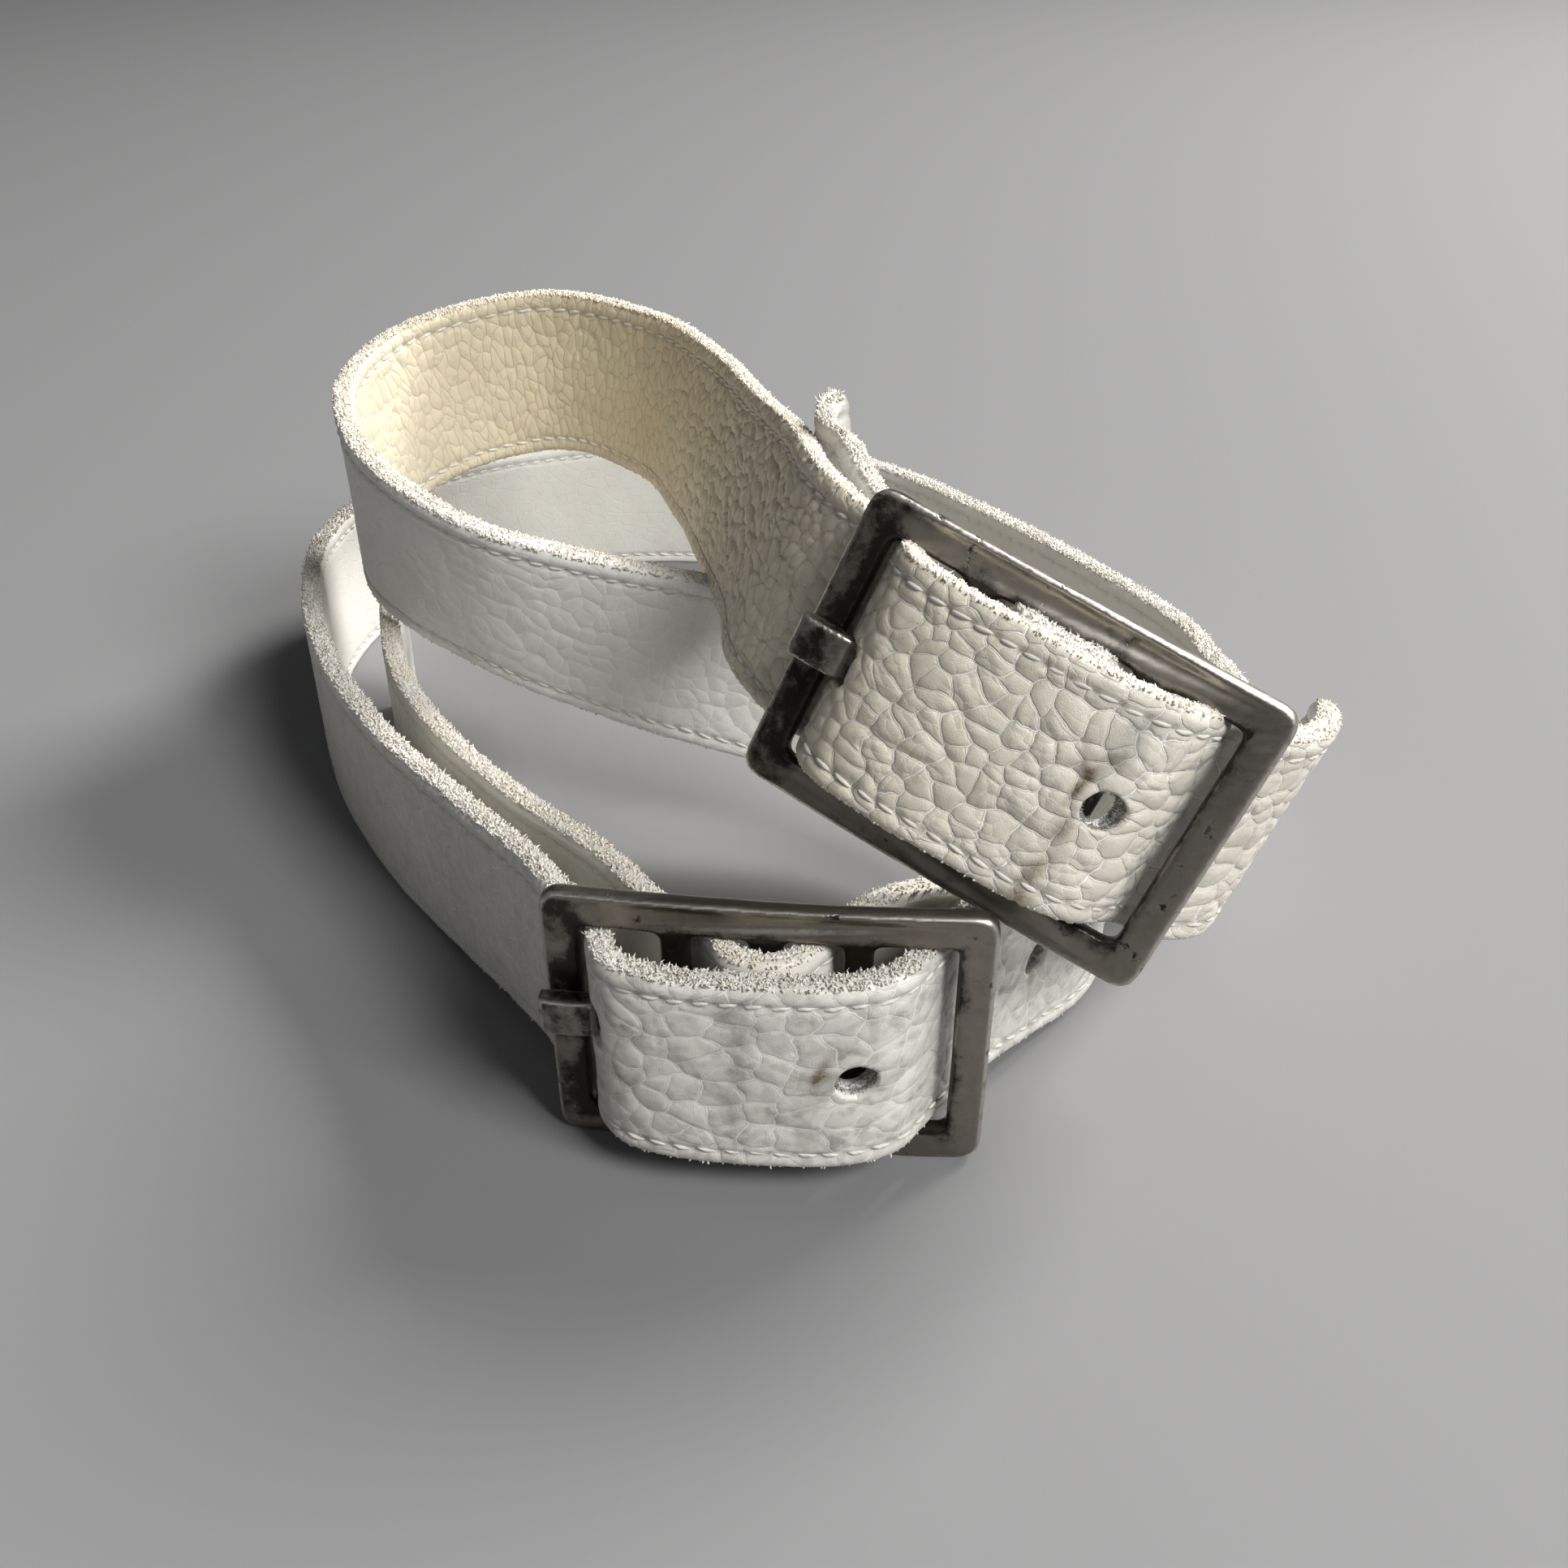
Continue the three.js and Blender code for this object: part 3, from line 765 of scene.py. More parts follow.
def tuft_mesh(name, coordinates, root, direction, bend, length, radius):
    """Tapering tufts, each with one bend, from their roots in strap coordinates."""
    middle = root + direction * length * 0.5
    tip = middle + bend * length * 0.5
    one = unit(np.cross(direction, bend))
    two = np.cross(direction, one)
    rings = []
    for centre, scale in ((root - direction * TUFT_SUNK, 1.0), (middle, 0.85)):
        for k in range(TUFT_SIDES):
            angle = 2 * math.pi * k / TUFT_SIDES
            away = one * math.cos(angle) + two * math.sin(angle)
            rings.append(centre + away * radius * scale)
    points = np.stack([*rings, tip], axis=1).reshape(-1, 3)
    faces = repeat_faces(TUFT_FACES, TUFT_POINTS, len(root))
    piece = new_mesh(name, points, faces)
    add_vectors(piece.data, "strap", np.repeat(coordinates, TUFT_POINTS, axis=0))
    return piece


def edge_tufts(name, route, pile, seed):
    """Curled tufts of suede along both cut edges of a strap, more on the upper one."""
    rng = np.random.default_rng(seed)
    count = int(route.length * TUFTS_PER_MM)
    u = rng.uniform(0.3, route.length - 0.3, count)
    side = np.where(rng.random(count) < UPPER_TUFT_SHARE, 1.0, -1.0)
    n = rng.uniform(*TUFT_LEVELS, count)
    v = side * (LEATHER_HALF + edge_crown(side, n) + rng.uniform(-0.25, 0.05, count))
    _, along, across, out = route.frames(u)
    length = rng.uniform(*TUFT_LENGTH, (count, 1))
    length *= rng.choice([0.6, 1.0, 1.5], (count, 1), p=[0.45, 0.53, 0.02])
    length *= pile * np.where(side > 0, 1.0, LOWER_TUFT_LENGTH)[:, None]
    radius = rng.uniform(*TUFT_RADIUS, (count, 1)) / np.maximum(length, 0.8)

    def swayed(spread):
        lean = rng.normal(0, spread, (count, 1)) + n[:, None] / STRAP_THICKNESS
        slant = rng.normal(0, spread, (count, 1))
        return unit(across * side[:, None] + along * slant + out * lean)

    coordinates = np.stack([u, v, n], axis=1)
    root = route.place(u, v, n)
    return tuft_mesh(name, coordinates, root, swayed(0.5), swayed(2.2), length, radius)


def hole_tufts(name, route, seed):
    """Grey flesh-side tufts that close in on each belt hole."""
    rng = np.random.default_rng(seed)
    holes = belt_holes(route)
    count = TUFTS_PER_HOLE * len(holes)
    middle = np.repeat([hole["u"] for hole in holes], TUFTS_PER_HOLE)
    angle = rng.uniform(0, 2 * math.pi, count)
    u = middle + HOLE_LENGTH / 2 * np.cos(angle)
    v = HOLE_HEIGHT / 2 * np.sin(angle)
    n = rng.uniform(*HOLE_TUFT_LEVELS, count)
    _, along, across, out = route.frames(u)
    inward = -along * np.cos(angle)[:, None] - across * np.sin(angle)[:, None]

    def swayed(spread):
        return unit(inward + rng.normal(0, spread, (count, 3)))

    length = rng.uniform(*HOLE_TUFT_LENGTH, (count, 1))
    radius = rng.uniform(*HOLE_TUFT_RADIUS, (count, 1))
    coordinates = np.stack([u, v, n], axis=1)
    root = route.place(u, v, n)
    return tuft_mesh(name, coordinates, root, swayed(0.45), swayed(0.9), length, radius)


STITCH_LENGTH = 2.7
STITCH_RADIUS = 0.32
STITCH_LEAN = 0.22
STITCH_SINK = 0.5
STITCH_ARCH = 0.22
STITCH_RINGS = 7
STITCH_SIDES = 6


def stitch_rows(route):
    """Middle of every stitch: distance along, and sign of its edge and of its side."""
    places = np.arange(STITCH_PITCH, route.length - STITCH_PITCH * 0.7, STITCH_PITCH)
    rows = []
    for edge in (-1.0, 1.0):
        for side in (-1.0, 1.0):
            rows.extend((u, edge, side) for u in places)
    return np.array(rows)


def stitch_pattern():
    """Faces of one stitch, as places among its own points."""
    pattern = []
    for k in range(STITCH_RINGS - 1):
        for m in range(STITCH_SIDES):
            a = k * STITCH_SIDES + m
            b = k * STITCH_SIDES + (m + 1) % STITCH_SIDES
            pattern.append((a, b, b + STITCH_SIDES, a + STITCH_SIDES))
    pattern.append(tuple(range(STITCH_SIDES))[::-1])
    pattern.append(tuple((STITCH_RINGS - 1) * STITCH_SIDES + m for m in range(STITCH_SIDES)))
    return pattern


def stitches(name, route, seed):
    """Threads of the two stitch rows, on both sides of a strap."""
    rng = np.random.default_rng(seed)
    rows = stitch_rows(route)
    count = len(rows)
    u0, edge, side = rows.T
    u0 = u0 + rng.normal(0, 0.08, count)
    v0 = edge * (LEATHER_HALF - STITCH_INSET) + rng.normal(0, 0.06, count)
    half = STITCH_LENGTH / 2 * rng.uniform(0.9, 1.05, count)
    lean = side * edge * STITCH_LEAN * rng.uniform(0.5, 1.3, count)
    points = []
    for t in np.linspace(-1, 1, STITCH_RINGS):
        v = v0 + lean * t * 0.8
        lift = STRAP_THICKNESS / 2 - STITCH_SINK + STITCH_ARCH * (1 - t * t)
        wide = STITCH_RADIUS * (1 - 0.75 * t**4)
        at, _, across, out = route.frames(u0 + half * t)
        for m in range(STITCH_SIDES):
            angle = 2 * math.pi * m / STITCH_SIDES
            dv = (v + wide * math.cos(angle))[:, None]
            dn = (side * (lift + wide * math.sin(angle)))[:, None]
            points.append(at + across * dv + out * dn)
    points = np.stack(points, axis=1).reshape(-1, 3)
    pattern = stitch_pattern()
    size = STITCH_RINGS * STITCH_SIDES
    faces = repeat_faces(pattern, size, count)
    outward = np.repeat(side > 0, len(pattern))
    faces = [face[::-1] if turned else face for face, turned in zip(faces, outward)]
    piece = new_mesh(name, points, faces)
    coordinates = np.stack([u0, v0, side * SIDE_PLANE], axis=1)
    add_vectors(piece.data, "strap", np.repeat(coordinates, size, axis=0))
    return piece


# ---------------------------------------------------------------- castings
CASTING_VOXEL = 0.36 * MM
# Lengths of the waves that dent a casting, longest first, and how many there are of each.
DENT_WAVES = (7.0, 4.5, 3.0)
WAVES_EACH = 4


def worn_casting(name, node, smooth, dents, seed):
    """A CAD casting with its corners worn round and its faces a little uneven."""
    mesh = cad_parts[node].data.copy()
    mesh.name = name
    piece = bpy.data.objects.new(name, mesh)
    bpy.context.scene.collection.objects.link(piece)
    remesh = piece.modifiers.new("remesh", "REMESH")
    remesh.mode = "VOXEL"
    remesh.voxel_size = CASTING_VOXEL
    remesh.use_smooth_shade = True
    rounding = piece.modifiers.new("rounding", "SMOOTH")
    rounding.factor = 0.5
    rounding.iterations = smooth
    apply_modifiers(piece)
    dent(piece.data, dents, seed)
    piece.data.polygons.foreach_set("use_smooth", np.ones(len(piece.data.polygons), bool))
    return piece


def mesh_points(mesh):
    points = np.empty(len(mesh.vertices) * 3, np.float32)
    mesh.vertices.foreach_get("co", points)
    return points.reshape(-1, 3).astype(float)


def mesh_normals(mesh):
    normals = np.empty(len(mesh.vertices) * 3, np.float32)
    mesh.vertex_normals.foreach_get("vector", normals)
    return normals.reshape(-1, 3).astype(float)


def dent(mesh, depth, seed):
    """Low waves of random direction over a casting, as hammering and wear leave them."""
    rng = np.random.default_rng(seed)
    points = mesh_points(mesh)
    height = np.zeros(len(points))
    waves = len(DENT_WAVES) * WAVES_EACH
    for wave in DENT_WAVES:
        for _ in range(WAVES_EACH):
            direction = unit(rng.normal(size=(1, 3)))[0] / (wave * MM)
            swing = np.sin(points @ direction * math.pi + rng.uniform(0, 6.3))
            height += swing / waves * wave / DENT_WAVES[0]
    moved = points + mesh_normals(mesh) * (height * depth * MM)[:, None]
    mesh.vertices.foreach_set("co", moved.astype(np.float32).ravel())
    mesh.update()


# ---------------------------------------------------------------- materials
def new_material(name, **values):
    """A material with a Principled shader; values are set straight on its sockets."""
    material = bpy.data.materials.new(name)
    material.use_nodes = True
    tree = material.node_tree
    shader = tree.nodes["Principled BSDF"]
    for key, value in values.items():
        shader.inputs[key].default_value = value
    return material, tree, shader


def mix_colours(tree, share, first, second):
    node = add_node(tree, "ShaderNodeMix", data_type="RGBA", clamp_factor=True)
    for place, value in ((0, share), (6, first), (7, second)):
        if isinstance(value, bpy.types.NodeSocket):
            tree.links.new(value, node.inputs[place])
        else:
            node.inputs[place].default_value = value
    return node.outputs[2]


def bump(tree, height, distance, strength=1.0, under=None):
    inputs = {"Height": height, "Strength": strength, "Distance": distance, "Normal": under}
    return add_node(tree, "ShaderNodeBump", inputs).outputs["Normal"]


def attribute(tree, name, output="Fac"):
    return add_node(tree, "ShaderNodeAttribute", attribute_name=name).outputs[output]


def connect(tree, shader, **sockets):
    """Links values to a shader's sockets; their names are written with _ for a space."""
    for name, socket in sockets.items():
        tree.links.new(socket, shader.inputs[name.replace("_", " ")])


# Colours of the leather's parts; a pair is mixed by noise, and tone goes from cool to warm. Warm
# is yellowing of the leather, and inside the raised loop also painted warm bounce light.
COOL = ((0.70, 0.69, 0.65, 1), (0.87, 0.86, 0.82, 1))
WARM = ((0.60, 0.51, 0.34, 1), (0.76, 0.68, 0.50, 1))
GRIME = (0.42, 0.415, 0.365, 1)
# Crease colours are painted light: a painted highlight along the crease lips, and painted shade in
# the crease valleys of the warm leather.
CREASE_HIGHLIGHT = (1.0, 0.99, 0.95, 1)
CREASE_SHADE = (0.46, 0.37, 0.22, 1)
# Grey of the smudge marks, also used for painted shade in the stitch grooves and painted shadows
# of the buckle bars.
SMUDGE_AND_SHADE = (0.27, 0.28, 0.25, 1)
STAIN = (0.15, 0.115, 0.06, 1)
LINING = ((0.60, 0.58, 0.53, 1), (0.74, 0.73, 0.68, 1))
WORN_LINING = (0.52, 0.48, 0.39, 1)
SOIL = (0.33, 0.25, 0.14, 1)
THREAD = ((0.58, 0.555, 0.49, 1), (0.78, 0.76, 0.71, 1))
# Colours of the castings' black patina, bright bevels and pits; the bevels are rubbed plate and
# painted highlight.
PATINA = (0.022, 0.018, 0.014, 1)
RUBBED_HIGHLIGHT = (0.70, 0.67, 0.61, 1)
PIT = (0.012, 0.010, 0.008, 1)


def pebbled_leather():
    """Off-white drum-dyed leather: cool on most of its length, warm where tone says, which is
    yellowing of the leather and, inside the raised loop, painted warm bounce light.
    """
    material, tree, shader = new_material("pebbled_leather", **{
        "Specular IOR Level": 0.5, "Sheen Weight": 0.03, "Sheen Roughness": 0.5,
    })
    place = attribute(tree, "strap", "Vector")
    grain = attribute(tree, "grain")
    relief = pebble_relief(tree, attribute(tree, "cells", "Vector"))
    height, crease = relief[:2]
    smudge = noise(tree, place, 0.25, 4.0, 0.62)
    dirty = step_between(tree, smudge, 0.46, 0.72)
    colour = leather_colour(tree, place, grain, dirty, relief)
    speck = noise(tree, place, 3.1, 2.0)
    rough = calc(tree, "MULTIPLY_ADD", speck, 0.20, 0.30)
    rough = calc(tree, "ADD", rough, calc(tree, "MULTIPLY", dirty, 0.08))
    pores = noise(tree, place, 5.5, 3.0, 0.65)
    vein = calc(tree, "MULTIPLY_ADD", crease, -0.05, height)
    normal = bump(tree, calc(tree, "MULTIPLY", vein, grain), MM, 0.9)
    normal = bump(tree, pores, 0.10 * MM, 0.9, normal)
    connect(tree, shader, Base_Color=colour, Roughness=rough, Normal=normal)
    return material


def leather_colour(tree, place, grain, dirty, relief):
    """Colour of the pebbled leather, with its grime, its painted crease highlights and crease
    shade, and its marks.
    """
    _, crease, wrinkle, amount = relief
    tone = attribute(tree, "tone")
    broad = noise(tree, place, 0.07, 3.0)
    cool = mix_colours(tree, broad, *COOL)
    warm = mix_colours(tree, broad, *WARM)
    # Cool and warm leather mixed by tone; the warm side is partly painted bounce light.
    colour = mix_colours(tree, tone, cool, warm)
    shade = step_between(tree, noise(tree, place, 0.42, 1.0), 0.45, 0.62)
    grime = calc(tree, "MULTIPLY_ADD", dirty, 0.45, calc(tree, "MULTIPLY", shade, 0.22))
    grime = calc(tree, "MULTIPLY", grime, attribute(tree, "dirt"))
    colour = mix_colours(tree, grime, colour, GRIME)
    warm_share = step_between(tree, tone, 0.55, 0.95)
    painted_crease_light = mix_colours(tree, warm_share, CREASE_HIGHLIGHT, CREASE_SHADE)
    # Crease and fine wrinkle lines are painted light: painted highlight on cool leather, painted
    # shade on warm leather.
    line = calc(tree, "MULTIPLY", calc(tree, "SUBTRACT", 1.0, crease), grain)
    colour = mix_colours(tree, line, colour, painted_crease_light)
    fine_line = calc(tree, "MULTIPLY", calc(tree, "SUBTRACT", 1.0, wrinkle), amount)
    fine_line = calc(tree, "MULTIPLY", fine_line, grain)
    colour = mix_colours(tree, calc(tree, "MULTIPLY", fine_line, 0.5), colour, painted_crease_light)
    return marked(tree, place, colour)


def marked(tree, place, colour):
    """Adds the grey smudge marks, the painted shade in stitch grooves and the painted shadows of
    the buckle bars, and the brown stains, with ragged outlines.
    """
    ragged = calc(tree, "MULTIPLY_ADD", noise(tree, place, 1.3, 4.0, 0.7), 1.8, 0.1)
    for name, tint in (("smudge", SMUDGE_AND_SHADE), ("stain", STAIN)):
        broken = calc(tree, "MULTIPLY", attribute(tree, name), ragged)
        colour = mix_colours(tree, broken, colour, tint)
    return colour


def lining_leather():
    """Smooth cream lining, with faint wrinkles and rubbed patches."""
    material, tree, shader = new_material("lining_leather", **{"Specular IOR Level": 0.35})
    place = attribute(tree, "strap", "Vector")
    rubbed = noise(tree, place, 0.35, 5.0, 0.6)
    colour = mix_colours(tree, noise(tree, place, 0.05, 3.0), *LINING)
    worn = step_between(tree, rubbed, 0.5, 0.75)
    colour = mix_colours(tree, calc(tree, "MULTIPLY", worn, 0.25), colour, WORN_LINING)
    colour = marked(tree, place, colour)
    rough = calc(tree, "MULTIPLY_ADD", rubbed, 0.2, 0.48)
    fold = step_between(tree, cell_edge(tree, place, (3.0, 2.4)), 0, 0.12)
    pores = noise(tree, place, 2.2, 4.0, 0.65)
    height = calc(tree, "ADD", pores, calc(tree, "MULTIPLY", fold, 0.5))
    normal = bump(tree, height, 0.08 * MM, 0.7)
    connect(tree, shader, Base_Color=colour, Roughness=rough, Normal=normal)
    return material


def raw_suede(name, light, dark):
    """Cut edge and flesh side: matt, fibrous, with brown specks of dirt."""
    material, tree, shader = new_material(name, **{
        "Roughness": 0.95, "Specular IOR Level": 0.1, "Sheen Weight": 0.4, "Sheen Roughness": 0.6,
    })
    place = attribute(tree, "strap", "Vector")
    fibre = noise(tree, place, 2.3, 4.0, 0.75)
    colour = mix_colours(tree, step_between(tree, fibre, 0.32, 0.62), dark, light)
    soiled = step_between(tree, noise(tree, place, 0.45, 4.0, 0.65), 0.58, 0.80)
    colour = mix_colours(tree, calc(tree, "MULTIPLY", soiled, 0.6), colour, SOIL)
    connect(tree, shader, Base_Color=colour, Normal=bump(tree, fibre, 0.5 * MM, 1.0))
    return material


def thread(name):
    """Waxed cream thread, its two strands twisted together."""
    material, tree, shader = new_material(name, **{"Roughness": 0.6, "Specular IOR Level": 0.3})
    place = add_node(tree, "ShaderNodeTexCoord").outputs["Object"]
    colour = mix_colours(tree, noise(tree, place, 160.0, 2.0), *THREAD)
    strands = add_node(
        tree, "ShaderNodeTexWave", {"Vector": place, "Scale": 420.0, "Distortion": 1.5},
        bands_direction="DIAGONAL",
    )
    normal = bump(tree, strands.outputs["Fac"], 0.06 * MM, 0.8)
    connect(tree, shader, Base_Color=colour, Normal=normal)
    return material


def antique_silver(name, bright, dark):
    """Cast alloy with a worn silver plate: bright edges that are rubbed plate and painted
    highlight, dark pits and blackened bars.
    """
    material, tree, shader = new_material(name)
    place = add_node(tree, "ShaderNodeTexCoord").outputs["Object"]
    patina = noise(tree, place, 170.0, 8.0, 0.66)
    fine = noise(tree, place, 480.0, 4.0, 0.7)
    rubbed = step_between(tree, fine, 0.30, 0.52)
    # Bright bevels from the rubbed mask: rubbed plate, and a painted highlight along the bevels.
    edge = calc(tree, "MULTIPLY", attribute(tree, "rubbed"), rubbed)
    black = calc(tree, "MULTIPLY_ADD", attribute(tree, "tarnish"), 0.42, patina)
    black = step_between(tree, black, 0.56, 0.80)
    black = calc(tree, "MULTIPLY", black, calc(tree, "MULTIPLY_ADD", edge, -0.8, 1.0))
    deep = step_between(tree, noise(tree, place, 230.0, 4.0, 0.62), 0.63, 0.70)
    colour = mix_colours(tree, black, mix_colours(tree, fine, bright, dark), PATINA)
    colour = mix_colours(tree, calc(tree, "MULTIPLY", edge, 0.7), colour, RUBBED_HIGHLIGHT)
    colour = mix_colours(tree, deep, colour, PIT)
    metal = calc(tree, "MULTIPLY_ADD", calc(tree, "MAXIMUM", black, deep), -0.45, 1.0)
    scratch = noise(tree, vector_calc(tree, "MULTIPLY", place, (60, 900, 900)), 1.0, 3.0, 0.6)
    rough = calc(tree, "MULTIPLY_ADD", scratch, 0.30, 0.24)
    rough = calc(tree, "SUBTRACT", rough, calc(tree, "MULTIPLY", black, 0.16))
    rough = calc(tree, "ADD", rough, calc(tree, "MULTIPLY", deep, 0.25))
    height = calc(tree, "SUBTRACT", calc(tree, "MULTIPLY", fine, 0.35), deep)
    height = calc(tree, "SUBTRACT", height, calc(tree, "MULTIPLY", black, 0.25))
    normal = bump(tree, height, 0.10 * MM, 0.6)
    connect(tree, shader, Base_Color=colour, Metallic=metal, Roughness=rough, Normal=normal)
    return material


# ---------------------------------------------------------------- where each look lies
def spots(u, v, marks):
    """Sum of soft elongated marks: middle u, v, half-lengths, turn in degrees, strength."""
    total = np.zeros(len(u))
    for u0, v0, long, short, turn, strength in marks:
        angle = math.radians(turn)
        x = (u - u0) * math.cos(angle) + (v - v0) * math.sin(angle)
        y = (v - v0) * math.cos(angle) - (u - u0) * math.sin(angle)
        total += strength * np.exp(-((x / long) ** 2) - (y / short) ** 2)
    return np.clip(total, 0, 1)


def ramp(u, start, end):
    """0 before the start and 1 past the end, with a smooth turn between them."""
    share = np.clip((u - start) / (end - start), 0, 1)
    return share * share * (3 - 2 * share)


def point_coordinates(mesh):
    rows = np.empty(len(mesh.vertices) * 3, np.float32)
    mesh.attributes["strap"].data.foreach_get("vector", rows)
    return rows.reshape(-1, 3).astype(float)


def curve(*anchors):
    """A value that changes evenly along a strap, through (place, value) anchors."""
    places, values = zip(*anchors)
    return lambda u: np.interp(u, places, values)


def cell_coordinates(route, look, rows):
    """Strap coordinates, stretched so that the pebbles are finer where the look says."""
    places = np.linspace(0, route.length, 5000)
    steps = look["finer_along"](places[:-1]) * np.diff(places)
    travelled = np.concatenate([[0], np.cumsum(steps)])
    u, v, plane = rows.T
    along = np.interp(u, places, travelled)
    return np.stack([along, v * look["finer_across"](u), plane], axis=1)


def paint(piece, route, look, smudges_and_shadows, stains):
    """Writes how pebbled, warm, dirty, smudged and stained each point of a ply is; the smudge
    attribute also gets painted shade in the stitch grooves.
    """
    rows = point_coordinates(piece.data)
    u, v, _ = rows.T
    add_vectors(piece.data, "cells", cell_coordinates(route, look, rows))
    for name in ("grain", "tone", "dirt"):
        add_numbers(piece.data, name, look[name](u))
    # Painted shade in the stitch grooves, darkest at the needle holes, added to the smudge
    # attribute.
    groove_shade = 0.42 * groove_share(v) * (0.25 + 0.75 * stitch_ends(u))
    add_numbers(piece.data, "smudge", np.clip(spots(u, v, smudges_and_shadows) + groove_shade, 0, 1))
    add_numbers(piece.data, "stain", spots(u, v, stains))


# Half-width and half-height of a frame's window, and the reach of its left bar.
WINDOW = (25, 16.3)
LEFT_BAR = (21.5, 25.5)


def tarnish(piece, pose, base, bar, framed):
    """Writes how black each point of a casting is, most on its left bar, round its windows
    and on its back, and how bright its bevels are: rubbed plate and a painted highlight."""
    points = mesh_points(piece.data) / MM - SHIFT
    back = np.array(buckle_matrix(pose).inverted())
    local = points @ back[:3, :3].T + back[:3, 3]
    facing = np.abs((mesh_normals(piece.data) @ back[:3, :3].T)[:, 1])
    from_window = np.max(np.abs(local[:, ::2]) - WINDOW, axis=1)
    outer = ramp(from_window, 0.8, 2.4) if framed else 1.0
    inner = 1 - ramp(from_window, 0.1, 0.9) if framed else 0.0
    # Bevels between front and sides: rubbed plate and painted highlight.
    rubbed = (1 - ramp(facing, 0.8, 0.97)) * ramp(facing, 0.15, 0.5)
    add_numbers(piece.data, "rubbed", rubbed * outer)
    share = base + (bar - base) * ramp(-local[:, 0], *LEFT_BAR)
    share += 0.35 * ramp(local[:, 1], 0.2, 2.0) + 0.30 * (1 - outer) + 0.50 * inner
    add_numbers(piece.data, "tarnish", np.clip(share, 0, 1))


# ---------------------------------------------------------------- camera, light and floor
def camera():
    """Looks along +Y and down at the buckles, from a hand's height above the floor."""
    data = bpy.data.cameras.new("camera")
    data.lens = 35.4
    data.sensor_width = 36.0
    data.clip_start = 0.01
    eye = bpy.data.objects.new("camera", data)
    eye.location = (np.array([2.16, -156.28, 165.0]) + SHIFT) * MM
    eye.rotation_euler = (math.radians(90 - 33.7), 0, 0)
    bpy.context.scene.collection.objects.link(eye)
    bpy.context.scene.camera = eye


LIGHT_TARGET = (0, 0, 0.03)
# Area lights, in metres and watts: place, width and height, power and colour.
LIGHTS = {
    "window": ((1.25, 0.8, 1.35), (0.7, 0.7), 62.0, (1.0, 0.985, 0.96)),
    "door": ((1.15, -1.0, 1.5), (0.8, 0.8), 47.0, (1.0, 0.995, 0.985)),
    "room": ((-1.0, -1.5, 1.4), (2.0, 1.4), 3.2, (0.96, 0.98, 1.0)),
}
ROOM_COLOUR = (0.88, 0.9, 0.92, 1)
ROOM_STRENGTH = 0.07
FLOOR_COLOUR = (0.21, 0.21, 0.213, 1)
FLOOR_REACH = 9


def lights():
    for name, (place, size, power, colour) in LIGHTS.items():
        data = bpy.data.lights.new(name, "AREA")
        data.shape = "RECTANGLE"
        data.size, data.size_y = size
        data.energy = power
        data.color = colour
        lamp = bpy.data.objects.new(name, data)
        lamp.location = place
        gaze = Vector(LIGHT_TARGET) - Vector(place)
        lamp.rotation_euler = gaze.to_track_quat("-Z", "Y").to_euler()
        bpy.context.scene.collection.objects.link(lamp)
    world = bpy.data.worlds.new("room")
    world.use_nodes = True
    back = world.node_tree.nodes["Background"]
    back.inputs["Color"].default_value = ROOM_COLOUR
    back.inputs["Strength"].default_value = ROOM_STRENGTH
    bpy.context.scene.world = world
    bpy.context.scene.view_settings.view_transform = "Standard"


def floor():
    """Plain pale ground."""
    mesh = bpy.data.meshes.new("floor")
    signs = ((-1, -1), (1, -1), (1, 1), (-1, 1))
    corners = [(x * FLOOR_REACH, y * FLOOR_REACH, 0) for x, y in signs]
    mesh.from_pydata(corners, [], [(0, 1, 2, 3)])
    ground = bpy.data.objects.new("floor", mesh)
    bpy.context.scene.collection.objects.link(ground)
    material, _, _ = new_material("floor", **{
        "Base Color": FLOOR_COLOUR, "Roughness": 0.75, "Specular IOR Level": 0.25,
    })
    mesh.materials.append(material)


# ---------------------------------------------------------------- the belt
def finish_piece(piece, slot, materials, *nodes, body=BODY):
    """Materials, body and the CAD nodes that a piece stands for; slot is not used."""
    piece.data.materials.clear()
    for material in materials:
        piece.data.materials.append(material)
    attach(piece, body)
    if nodes:
        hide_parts(*nodes)
    return piece


def loop_looks():
    """The raised loop is finely crinkled and warm inside, a painted warm bounce light; the front
    is pebbled, with some yellowing.
    """
    fold = LOOP.nearest(28.5, 56, 28)
    wall = LOOP.nearest(-7.5, 74.5, 34.6)
    bend = LOOP.nearest(-77, 122, 54)
    turn = LOOP.nearest(-24, 134, 61.6)
    fall = LOOP.nearest(-6, 84, 64)
    front = LOOP.near(UPPER_BUCKLE, -16, LAYER_Y)
    face = {
        "grain": curve(
            (fold - 8, 0), (fold + 14, 0.6), (bend, 0.7), (turn, 0.9), (fall, 1.8), (front, 1.3),
        ),
        # Warm tone: painted warm bounce light inside the loop, from the bend over the turn to the
        # fall, and yellowing of the leather at the front.
        "tone": curve(
            (wall, 0.2), (bend - 15, 0.8), (turn, 1.0), (fall, 0.8), (front - 6, 0.7),
            (front + 30, 0.45),
        ),
        "dirt": curve((turn, 0.4), (front, 0.5)),
        "finer_along": curve(
            (bend, 2.4), (turn, 2.2), (fall, 1.6), (front - 6, 1.4), (front + 14, 1.2),
        ),
        "finer_across": curve(
            (bend, 1.1), (turn, 1.1), (fall, 1.5), (front - 6, 1.3), (front + 14, 1.2),
        ),
    }
    outside = {
        "grain": curve((fold, 0.45), (front, 0.6)),
        "tone": curve((fold, 0.0), (wall, 0.0)),
        "dirt": curve((fold, 0.12), (wall, 0.12)),
        "finer_along": curve((fold, 1.35), (front, 1.35)),
        "finer_across": curve((fold, 1.2), (front, 1.2)),
    }
    return {"face": face, "lining": outside}


